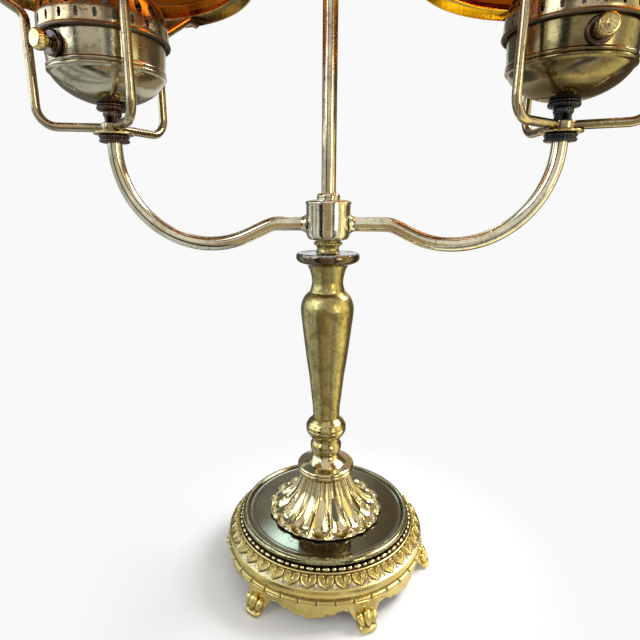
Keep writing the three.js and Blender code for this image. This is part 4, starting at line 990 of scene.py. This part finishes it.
FONT_LINE = [(0.27, 0), (0.38, 0.018), (0.496, 0.052), (0.6, 0.093), (0.686, 0.139), (0.78, 0.2), (0.858, 0.272),
             (0.905, 0.325), (0.94, 0.38), (0.94, 0.38), (0.965, 0.395), (0.985, 0.418), (0.98, 0.442),
             (0.958, 0.455), (0.958, 0.455), (0.975, 0.468), (0.982, 0.488), (0.972, 0.51), (0.962, 0.52),
             (0.962, 0.52), (0.97, 0.6), (0.985, 0.8), (1, 1)]
FONT_WALL = 1.6
SWITCH_DEGREES = {"left": -25, "right": 0}

font_finish = metal("font_brass", (0.45, 0.4, 0.27), (0.27, 0.23, 0.14), (0.05, 0.035, 0.025), tarnish_amount=0.8,
                    speck_amount=0.4, cloud_scale=34.0, polish=0.15, dullness=0.42, relief=0.00005)
# The right font gets the same brass, only darker and browner.
darker_font = metal("browned_font_brass", (0.22, 0.175, 0.085), (0.12, 0.09, 0.04), (0.04, 0.025, 0.015),
                     tarnish_amount=0.8, speck_amount=0.4, cloud_scale=34.0, polish=0.15, dullness=0.42,
                     relief=0.00005)

for side, way in HEADS.items():
    place = seat(f"{side}_font_cup")
    cup_foot = place.foot
    outer = scaled(FONT_LINE, place.radius, place.height, cup_foot)
    inside = np.array([(place.radius - FONT_WALL, cup_foot + place.height),
                       (place.radius * 0.93 - FONT_WALL, cup_foot + place.height * 0.45),
                       (place.radius * 0.8 - FONT_WALL, cup_foot + place.height * 0.25),
                       (place.radius * 0.5, cup_foot + FONT_WALL + 2), (PIPE_HOLE, cup_foot + FONT_WALL),
                       (PIPE_HOLE, cup_foot)])
    finish = darker_font if side == "right" else font_finish
    cup = turned(f"{side}_font_cup_spun", np.vstack([outer, inside]), finish, way * ARM_REACH)
    fit(cup, "lamp", "font_brass", f"{side}_font_cup")

# ---------------------------------------------------------------------------------------------
# Gallery: pressed brass that drops over the font's rim. Round air holes are punched all round it, and
# above them it draws in to a scalloped crown that grips the chimney's foot.

GALLERY_LIP = 0.9
GALLERY_WALL = 0.9
GALLERY_SIDES = 192
HOLES = 24
HOLE_LEVEL = 0.39
HOLE_WIDTH = 5.0
HOLE_TALL = 7.6
LOW_HOLE_LEVEL = 6.4
LOW_HOLE_WIDTH = 3.4
LOW_HOLE_TALL = 5.2
HOLE_COLUMNS = 16
CROWN_HEIGHT = 7.6
CROWN_RADIUS = 26.4
CROWN_TEETH = 24
TOOTH_HEIGHT = 2.2
GALLERY_LINE = [(1, 0.07), (1.002, 0.1), (1, 0.15), (0.998, 0.2), (0.995, 0.26), (0.975, 0.36), (0.93, 0.51),
                (0.87, 0.6), (0.79, 0.68), (0.735, 0.73), (0.71, 0.79)]

gallery_brass = metal("gallery_brass", (0.48, 0.38, 0.22), (0.22, 0.16, 0.1), (0.06, 0.04, 0.03),
                      tarnish_amount=0.75, speck_amount=0.5, cloud_scale=48.0, polish=0.18, dullness=0.48,
                      relief=0.00005)


def pierced(line, holes):
    """Pulls a surface's rows and columns round rows of oval holes, and tells how far each place is from them.
    Each row of holes has a height, half a width, half a height and a shift as a share of the pitch."""
    columns = HOLES * HOLE_COLUMNS
    turns = circle(columns) + np.zeros((len(line), 1))
    heights = line[:, 1:] + 0 * turns
    nearest = np.full(turns.shape, np.inf)
    for level, half_width, half_height, shift in holes:
        across = ((np.arange(columns) / HOLE_COLUMNS + shift) % 1 - 0.5) * TURN / HOLES
        u = across[None, :] * line[:, :1] / half_width
        v = (line[:, 1:] - level) / half_height + 0 * u
        square = np.maximum(np.abs(u), np.abs(v))
        pull = square / np.maximum(np.hypot(u, v), 1e-6)
        spread = (pull - 1) * (1 - ease(1.0, 1.35, square))
        turns = turns + u * spread * half_width / line[:, :1]
        heights = heights + v * spread * half_height
        nearest = np.minimum(nearest, square)
    return turns, heights, nearest


for side, way in HEADS.items():
    place = seat(f"{side}_gallery")
    gallery_foot, gallery_top = place.foot, place.foot + place.height
    skirt = place.radius - GALLERY_LIP
    ledge = gallery_top - CROWN_HEIGHT
    body_line = scaled(GALLERY_LINE, skirt, place.height, gallery_foot)
    holes = [(gallery_foot + place.height * HOLE_LEVEL, HOLE_WIDTH / 2, HOLE_TALL / 2, 0.0),
             (gallery_foot + LOW_HOLE_LEVEL, LOW_HOLE_WIDTH / 2, LOW_HOLE_TALL / 2, 0.5)]
    rows = [body_line[:, 1]] + [level + np.linspace(-1, 1, 9) * tall for level, _, tall, _ in holes]
    rows = np.unique(np.concatenate(rows).round(4))
    body_line = np.stack([np.interp(rows, body_line[:, 1], body_line[:, 0]), rows], axis=1)
    turns, heights, square = pierced(body_line, holes)
    radii = np.interp(heights, body_line[:, 1], body_line[:, 0])
    outside, inside = (round_axis(radii - inset, heights, turns + head_turn(SWITCH_DEGREES[side]))
                       for inset in (0, GALLERY_WALL))
    rows_count, cols_count = outside.shape[:2]
    index = np.arange(rows_count * cols_count).reshape(rows_count, cols_count)
    right = np.roll(index, -1, axis=1)
    quads = np.stack([index[:-1], right[:-1], right[1:], index[1:]], axis=-1)
    cut = square < 1 + 1e-6
    cut &= np.roll(cut, -1, axis=1)
    in_hole = cut[:-1] & cut[1:]
    kept = quads[~in_hole]
    shift = rows_count * cols_count
    # the hole's own wall: each side of a kept face that borders a cut one gets a face through the metal
    walls = []
    cut_up = np.pad(in_hole, ((1, 1), (0, 0)))
    for i, j in zip(*np.nonzero(cut_up[1:] != cut_up[:-1])):
        a, b = index[i, j], right[i, j]
        walls.append((a, b, b + shift, a + shift) if cut_up[i + 1, j] else (b, a, a + shift, b + shift))
    cut_side = np.roll(in_hole, 1, axis=1)
    for i, j in zip(*np.nonzero(in_hole != cut_side)):
        a, b = index[i, j], index[i + 1, j]
        walls.append((b, a, a + shift, b + shift) if in_hole[i, j] else (a, b, b + shift, a + shift))
    corners = np.concatenate([outside.reshape(-1, 3), inside.reshape(-1, 3)])
    faces = np.vstack([kept, kept[:, ::-1] + shift, np.array(walls)])
    lip = flow([(skirt + 0.1, gallery_foot + 2.6), (skirt + 0.7, gallery_foot + 1.9),
                (place.radius, gallery_foot + 1), (place.radius - 0.3, gallery_foot + 0.2),
                (skirt - 0.4, gallery_foot)])[::-1]
    lip = np.vstack([lip, [(skirt - GALLERY_WALL, gallery_foot + 2.6), (skirt - 1.6, gallery_foot + 1)]])
    shelf = np.array([(CROWN_RADIUS - 3.5, ledge - 0.9), (skirt * 0.71, ledge - 0.5),
                      (skirt * 0.715, ledge + 0.3), (CROWN_RADIUS - 3.5, ledge)])
    spin = circle(GALLERY_SIDES)
    teeth = 0.5 + 0.5 * np.cos(CROWN_TEETH * spin)
    crown_top = ledge + (CROWN_HEIGHT - TOOTH_HEIGHT) + TOOTH_HEIGHT * np.sqrt(teeth)
    flare = 0.8 * teeth
    crown = np.stack([round_axis(CROWN_RADIUS + out, height, spin) for out, height in (
        (0.25, ledge - 0.4), (0.35, ledge + 3), (0.4 + flare * 0.4, crown_top - 1), (0.5 + flare, crown_top),
        (flare - 0.3, crown_top - 0.2), (-0.4, ledge + 3), (-0.5, ledge - 0.4))])
    corners, faces = gather([(corners, faces), spun(lip, GALLERY_SIDES), spun(shelf, GALLERY_SIDES),
                             skin(crown, loop=True)])
    # Painted shadow: a band at the gallery's foot, where it drops over the font's rim, is darkened.
    lip_shadow = (1 - ease(gallery_foot + 0.8, gallery_foot + 2.4, corners[:, 2])) * 0.85
    gallery = make(f"{side}_gallery_pierced", (corners + [way * ARM_REACH, 0, 0], faces), gallery_brass, hollow=lip_shadow)
    fit(gallery, "lamp", "font_brass", f"{side}_gallery")

# ---------------------------------------------------------------------------------------------
# Socket, bulb and switch: the turn-switch socket stands in the font on the nipple. Its knob comes out
# through the font's wall, in a dark escutcheon. The bulb is frosted glass.

BULB_LINE = [(0.66, 0.3), (0.68, 0.33), (0.78, 0.4), (0.9, 0.49), (0.98, 0.59), (1, 0.67), (0.98, 0.76),
             (0.9, 0.85), (0.76, 0.92), (0.5, 0.975), (0.22, 0.998), (0, 1)]
BULB_SCREW = 0.3
SCREW_RADIUS = 12.4
SCREW_THREAD = 0.6
SCREW_PITCH = 3.6
KNOB_LINE = [(0.5, 0), (0.52, 0.2), (0.62, 0.28), (0.88, 0.34), (0.97, 0.42), (1, 0.5), (1, 0.82), (0.95, 0.92),
             (0.82, 0.99), (0.5, 1), (0, 0.97)]
KNOB_RADIUS = 5.5
KNOB_LENGTH = 8.5
SHAFT_RADIUS = 2.0
PLATE_RADIUS = 7.0
FONT_RADIUS = 35.3
FACE_AT = FONT_RADIUS + 1.6  # the escutcheon's face, out from the font's axis
SHAFT_END = 17.4  # the shaft's inner end, out from the font's axis
KNOB_RIBS = 24
KNOB_RIB = 0.25

bulb_glass = mottled("bulb_glass", [(0.8, 0.78, 0.72), (0.7, 0.66, 0.58)], 160.0, 3.0, mix=(0.4, 0.7),
                     gloss=(0.3, 0.7, 0.3, 0.45), relief=0.00002, glassy=(0.35, 1.45))


def sideways(outline, centre, turn, sides=48):
    """A piece turned about an axis that points out sideways from the font."""
    spin = circle(sides)
    along = np.broadcast_to(outline[:, 1:], (len(outline), sides))
    places = np.stack([along, -outline[:, :1] * np.sin(spin), outline[:, :1] * np.cos(spin)], axis=-1)
    return places @ spin_about(turn) + centre


for side, way in HEADS.items():
    carry_over(washer_brass, "polished_brass", f"{side}_socket")
    place = seat(f"{side}_bulb")
    glass_line = scaled(BULB_LINE, place.radius, place.height, place.foot)
    screw_top = place.height * BULB_SCREW
    screw_rows = np.linspace(3, screw_top, 28)
    screw_radii = SCREW_RADIUS + SCREW_THREAD * np.cos(screw_rows / SCREW_PITCH * TURN)
    outline = np.vstack([[(0, place.foot), (5.5, place.foot), (6.5, place.foot + 1)],
                         np.stack([screw_radii, place.foot + screw_rows], axis=1), glass_line])
    bulb = turned(f"{side}_bulb_blown", outline, bulb_glass, way * ARM_REACH, sides=64, closed=False)
    bulb.data.materials.append(washer_brass)
    for face in bulb.data.polygons:
        if face.center.z < (place.foot + screw_top) * MM:
            face.material_index = 1
    fit(bulb, "lamp", "bulb_glass", f"{side}_bulb")

    turn = head_turn(SWITCH_DEGREES[side])
    low, high = (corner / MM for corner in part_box(f"{side}_switch_plate"))
    centre = np.array([way * ARM_REACH, 0, (low.z + high.z) / 2])
    plate_ring = flow([(PLATE_RADIUS - 0.2, FACE_AT - 2.6), (PLATE_RADIUS, FACE_AT - 0.9),
                       (PLATE_RADIUS - 0.5, FACE_AT - 0.2), (PLATE_RADIUS - 1.6, FACE_AT), (3.2, FACE_AT + 0.05)])
    plate_ring = np.vstack([plate_ring, [(SHAFT_RADIUS + 0.12, FACE_AT), (SHAFT_RADIUS + 0.12, FACE_AT - 2.6)]])
    escutcheon = make(f"{side}_switch_plate_pressed", skin(sideways(plate_ring, centre, turn), loop=True), dark_nut)
    fit(escutcheon, "lamp", "blackened_steel", f"{side}_switch_plate")

    knob_foot = FACE_AT + 0.4
    knob_line = scaled(KNOB_LINE, KNOB_RADIUS, KNOB_LENGTH, knob_foot)
    knob_line = np.vstack([[(0, SHAFT_END), (SHAFT_RADIUS, SHAFT_END), (SHAFT_RADIUS, knob_foot)], knob_line])
    ribs = np.where((knob_line[:, 1] > knob_foot + 3.4) & (knob_line[:, 0] > 5), KNOB_RIB, 0)[:, None]
    places = sideways(knob_line, 0 * centre, 0, 96)
    wave = 1 - ribs * (0.5 - 0.5 * np.cos(KNOB_RIBS * circle(96))) / KNOB_RADIUS
    places[..., 1:] *= wave[..., None]
    knob = make(f"{side}_switch_knob_ribbed", skin(places @ spin_about(turn) + centre), washer_brass, crease=50)
    fit(knob, f"{side}_switch_knob_body", "polished_brass", f"{side}_switch_knob")

# ---------------------------------------------------------------------------------------------
# Chimney: clear blown glass that stands in the gallery's crown, with a bulge round the bulb and a
# straight flue above it. It lifts out by hand.

CHIMNEY_LINE = [(0.864, 0), (0.864, 0.04), (0.885, 0.06), (0.95, 0.085), (0.99, 0.115), (0.995, 0.15), (0.96, 0.19),
                (0.86, 0.245), (0.74, 0.3), (0.64, 0.36), (0.58, 0.42), (0.545, 0.5), (0.52, 0.7), (0.5, 0.985),
                (0.505, 1)]
CHIMNEY_WALL = 1.6


def glass(name, shades, scale, polish, dullness, relief):
    """Blown or pressed glass: a tinted body with seeds and slight waves."""
    return mottled(name, shades, scale, 4.0, mix=(0.35, 0.65), gloss=(0.35, 0.7, polish, dullness),
                   relief=relief, distortion=0.5, glassy=(1.0, 1.5))


def glass_outline(line, place, wall):
    """The outline of a shell of even wall, from its outer line."""
    outer = scaled(line, place.radius / max(r for r, _ in line), place.height, place.foot)
    ahead = ahead_of(outer)
    inner = outer - np.stack([ahead[:, 1], -ahead[:, 0]], axis=1) * wall
    inner[0] = (outer[0][0] - wall, outer[0][1])
    inner[-1] = (outer[-1][0] - wall, outer[-1][1])
    return np.vstack([outer, inner[::-1]])


clear_glass = glass("clear_glass", [(0.97, 0.98, 0.97), (0.94, 0.96, 0.95)], 70.0, 0.02, 0.08, 0.00004)
for side, way in HEADS.items():
    outline = glass_outline(CHIMNEY_LINE, seat(f"{side}_chimney"), CHIMNEY_WALL)
    chimney = turned(f"{side}_chimney_blown", outline, clear_glass, way * ARM_REACH, sides=96)
    fit(chimney, f"{side}_chimney_body", "clear_glass", f"{side}_chimney")

# ---------------------------------------------------------------------------------------------
# Shade: deep amber pressed glass. It stands on the ring's shelf, domes in to an open mouth round the
# chimney and lifts off by hand.

SHADE_LINE = [(1, 0), (1, 0.055), (1.002, 0.07), (1.018, 0.09), (1.025, 0.11), (1.023, 0.16), (1, 0.24),
              (0.96, 0.33), (0.9, 0.44), (0.83, 0.55), (0.75, 0.66), (0.675, 0.76), (0.6, 0.85), (0.56, 0.9),
              (0.54, 0.93), (0.538, 0.965), (0.55, 1)]
SHADE_WALL = 2.6

amber_glass = glass("amber_glass", [(0.5, 0.14, 0.009), (0.35, 0.07, 0.004)], 26.0, 0.03, 0.12, 0.0001)
for side, way in HEADS.items():
    outline = glass_outline(SHADE_LINE, seat(f"{side}_shade"), SHADE_WALL)
    shade = turned(f"{side}_shade_pressed", outline, amber_glass, way * ARM_REACH, sides=192)
    fit(shade, f"{side}_shade_body", "amber_glass", f"{side}_shade")

# ---------------------------------------------------------------------------------------------
# Studio: a pale floor, a white surround with dark flags for the mirrors, soft lamps and the camera.

CAMERA_PLACE = (0.02084, -0.3147, 0.2602)
CAMERA_PAN = math.radians(4.6785)
CAMERA_TILT = math.radians(90 - 13.779)
CAMERA_ROLL = math.radians(0.411)
LENS = 27.0
SENSOR = 36.0
FLOOR_HALF = 6.0
FLOOR_FADE = (0.035, 0.19)  # metres from the lamp where the floor turns into the white surround
FLOOR_PAINT = (0.86, 0.86, 0.87, 1)
PLAIN = (1, 1, 1, 1)
WHITE = 0.947  # strength of the surround as the lens sees it
FILL = 0.42  # its strength for the rays that light the lamp
LAMP_AIM = (0, 0, 0.2)
# What polished metal sees round the lamp: cool light from the left, warm light from the right and dark flags
# between. Each has a start and an end in degrees round from the front, a top as the sine of its height, and
# a tone.
FLAGS = [(-118, -45, 2, (0.9, 0.98, 1.04, 1)), (59, 110, 2, (1.05, 1, 0.66, 1)),
         (-166, -118, 0.58, (0.2, 0.21, 0.2, 1)), (108, 166, 0.58, (0.17, 0.13, 0.08, 1)),
         (-45, -24, 0.75, (0.03, 0.03, 0.03, 1)), (-21, 17, 0.1, (0.52, 0.42, 0.26, 1)),
         (25, 46, 0.8, (0.16, 0.18, 0.22, 1)), (-66, -59, 0.5, (0.3, 0.29, 0.27, 1)),
         (-92, -80, 0.5, (0.34, 0.34, 0.34, 1)), (150, 178, 0.8, (0.55, 0.47, 0.34, 1))]
FLAG_EDGE, FLAG_TOP_EDGE = 3, 0.08  # degrees at the sides, and how soft the top is
PANE_EDGE, PANE_TOP_EDGE = 2, 0.01
# Panes, each with a low and a high edge: two dark ones high up at the back, a bright one behind the lamp for the
# plate's highlight, a cool window on the left and a warm one on the right
PANES = [(-152, -100, 0.64, 0.96, (0.16, 0.2, 0.2, 1)), (98, 150, 0.64, 0.96, (0.22, 0.17, 0.11, 1)),
         (-176, -168.5, 0.603, 0.637, (9, 13, 16, 1)), (-108, -68, 0.1, 0.85, (2.7, 3.2, 3.7, 1)),
         (74, 98, -1.2, 0.8, (2, 1.85, 1.1, 1))]


def band(tree, value, low, high, edge):
    """1 between low and high, with soft edges."""
    return times(tree, ramp(tree, value, low - edge, low + edge),
                 ramp(tree, value, high - edge, high + edge, 1.0, 0.0))


def build_flags():
    """The surround's tone in a direction, as polished metal sees it."""
    group, given, result = node_group("flags", {"Direction": "Vector"}, {"Color": "Color"})
    split = group.nodes.new("ShaderNodeSeparateXYZ")
    feed(group, split.inputs[0], given.outputs["Direction"])
    right, back, up = split.outputs
    degrees = times(group, sums(group, "ARCTAN2", right, times(group, back, -1.0)), 360 / TURN)
    color = PLAIN
    for start, end, top, shade in FLAGS:
        flag = times(group, band(group, degrees, start, end, FLAG_EDGE),
                     ramp(group, up, top - FLAG_TOP_EDGE, top + FLAG_TOP_EDGE, 1.0, 0.0))
        color = blend(group, flag, color, shade)
    for start, end, low, high, shade in PANES:
        pane = times(group, band(group, degrees, start, end, PANE_EDGE), band(group, up, low, high, PANE_TOP_EDGE))
        color = blend(group, pane, color, shade)
    feed(group, result.inputs["Color"], color)
    return group


flags = build_flags()


def surround_tone(tree, direction, path):
    """White, except on mirror rays."""
    seen = tree.nodes.new("ShaderNodeGroup")
    seen.node_tree = flags
    feed(tree, seen.inputs["Direction"], direction)
    return blend(tree, path.outputs["Is Glossy Ray"], PLAIN, seen.outputs["Color"])


def seen_by_lens(tree):
    """The light path, and 1 on camera, mirror and glass rays but 0 on the rays that light the lamp."""
    path = tree.nodes.new("ShaderNodeLightPath")
    rays = (path.outputs[f"Is {kind} Ray"] for kind in ("Camera", "Glossy", "Transmission"))
    return path, sums(tree, "MAXIMUM", *rays)


def build_floor_paint():
    """Pale matte floor that keeps the lamp's shadow and turns into the surround further out."""
    material = bpy.data.materials.new("floor_paint")
    material.use_nodes = True
    tree = material.node_tree
    tree.nodes.clear()
    out = tree.nodes.new("ShaderNodeOutputMaterial")
    path, seen = seen_by_lens(tree)
    place = tree.nodes.new("ShaderNodeTexCoord").outputs["Object"]
    distance = tree.nodes.new("ShaderNodeVectorMath")
    distance.operation = "LENGTH"
    feed(tree, distance.inputs[0], place)
    far = times(tree, ramp(tree, distance.outputs["Value"], *FLOOR_FADE), seen)
    matte = tree.nodes.new("ShaderNodeBsdfDiffuse")
    matte.inputs["Color"].default_value = FLOOR_PAINT
    glow = tree.nodes.new("ShaderNodeEmission")
    glow.inputs["Strength"].default_value = WHITE
    feed(tree, glow.inputs["Color"], surround_tone(tree, place, path))
    paint = tree.nodes.new("ShaderNodeMixShader")
    for socket, value in zip(paint.inputs, (far, matte.outputs[0], glow.outputs[0])):
        feed(tree, socket, value)
    feed(tree, out.inputs["Surface"], paint.outputs[0])
    return material


def build_surround():
    """White all round. Mirrors see the flags, and what lights the lamp is less bright than what the lens sees."""
    world = bpy.data.worlds.new("studio_surround")
    bpy.context.scene.world = world
    world.use_nodes = True
    tree = world.node_tree
    tree.nodes.clear()
    out = tree.nodes.new("ShaderNodeOutputWorld")
    path, seen = seen_by_lens(tree)
    sky = tree.nodes.new("ShaderNodeBackground")
    direction = tree.nodes.new("ShaderNodeTexCoord").outputs["Generated"]
    feed(tree, sky.inputs["Color"], surround_tone(tree, direction, path))
    feed(tree, sky.inputs["Strength"], ramp(tree, seen, 0.0, 1.0, FILL, WHITE))
    feed(tree, out.inputs["Surface"], sky.outputs[0])


def soft_lamp(name, place, width, height, watts, color=(1, 1, 1)):
    """A rectangle of light that faces the lamp."""
    light = bpy.data.lights.new(name, "AREA")
    light.shape = "RECTANGLE"
    light.size, light.size_y = width, height
    light.energy = watts
    light.color = color
    lamp = bpy.data.objects.new(name, light)
    bpy.context.scene.collection.objects.link(lamp)
    lamp.location = place
    ahead = np.array(LAMP_AIM) - np.array(place)
    lamp.rotation_euler = (math.atan2(math.hypot(ahead[0], ahead[1]), -ahead[2]), 0,
                           math.atan2(ahead[1], ahead[0]) - math.pi / 2)


floor_mesh = bpy.data.meshes.new("floor")
floor_corners = [(x * FLOOR_HALF, y * FLOOR_HALF, 0) for x, y in ((-1, -1), (1, -1), (1, 1), (-1, 1))]
floor_mesh.from_pydata(floor_corners, [], [(0, 1, 2, 3)])
floor_mesh.materials.append(build_floor_paint())
floor = bpy.data.objects.new("floor", floor_mesh)
bpy.context.scene.collection.objects.link(floor)

build_surround()
soft_lamp("key_lamp", (0.9, 0.35, 1.2), 0.7, 0.7, 26)
soft_lamp("window_lamp", (-0.9, -0.8, 0.9), 0.5, 0.9, 5, (0.9, 0.96, 1))
soft_lamp("warm_lamp", (0.9, -0.9, 0.4), 0.3, 0.5, 4, (1, 0.9, 0.6))

camera_data = bpy.data.cameras.new("camera")
camera_data.lens = LENS
camera_data.sensor_width = SENSOR
camera = bpy.data.objects.new("camera", camera_data)
bpy.context.scene.collection.objects.link(camera)
camera.matrix_world = (Matrix.Translation(CAMERA_PLACE) @ Matrix.Rotation(CAMERA_PAN, 4, "Z")
                       @ Matrix.Rotation(CAMERA_TILT, 4, "X") @ Matrix.Rotation(CAMERA_ROLL, 4, "Z"))
bpy.context.scene.camera = camera
bpy.context.scene.view_settings.view_transform = "Standard"
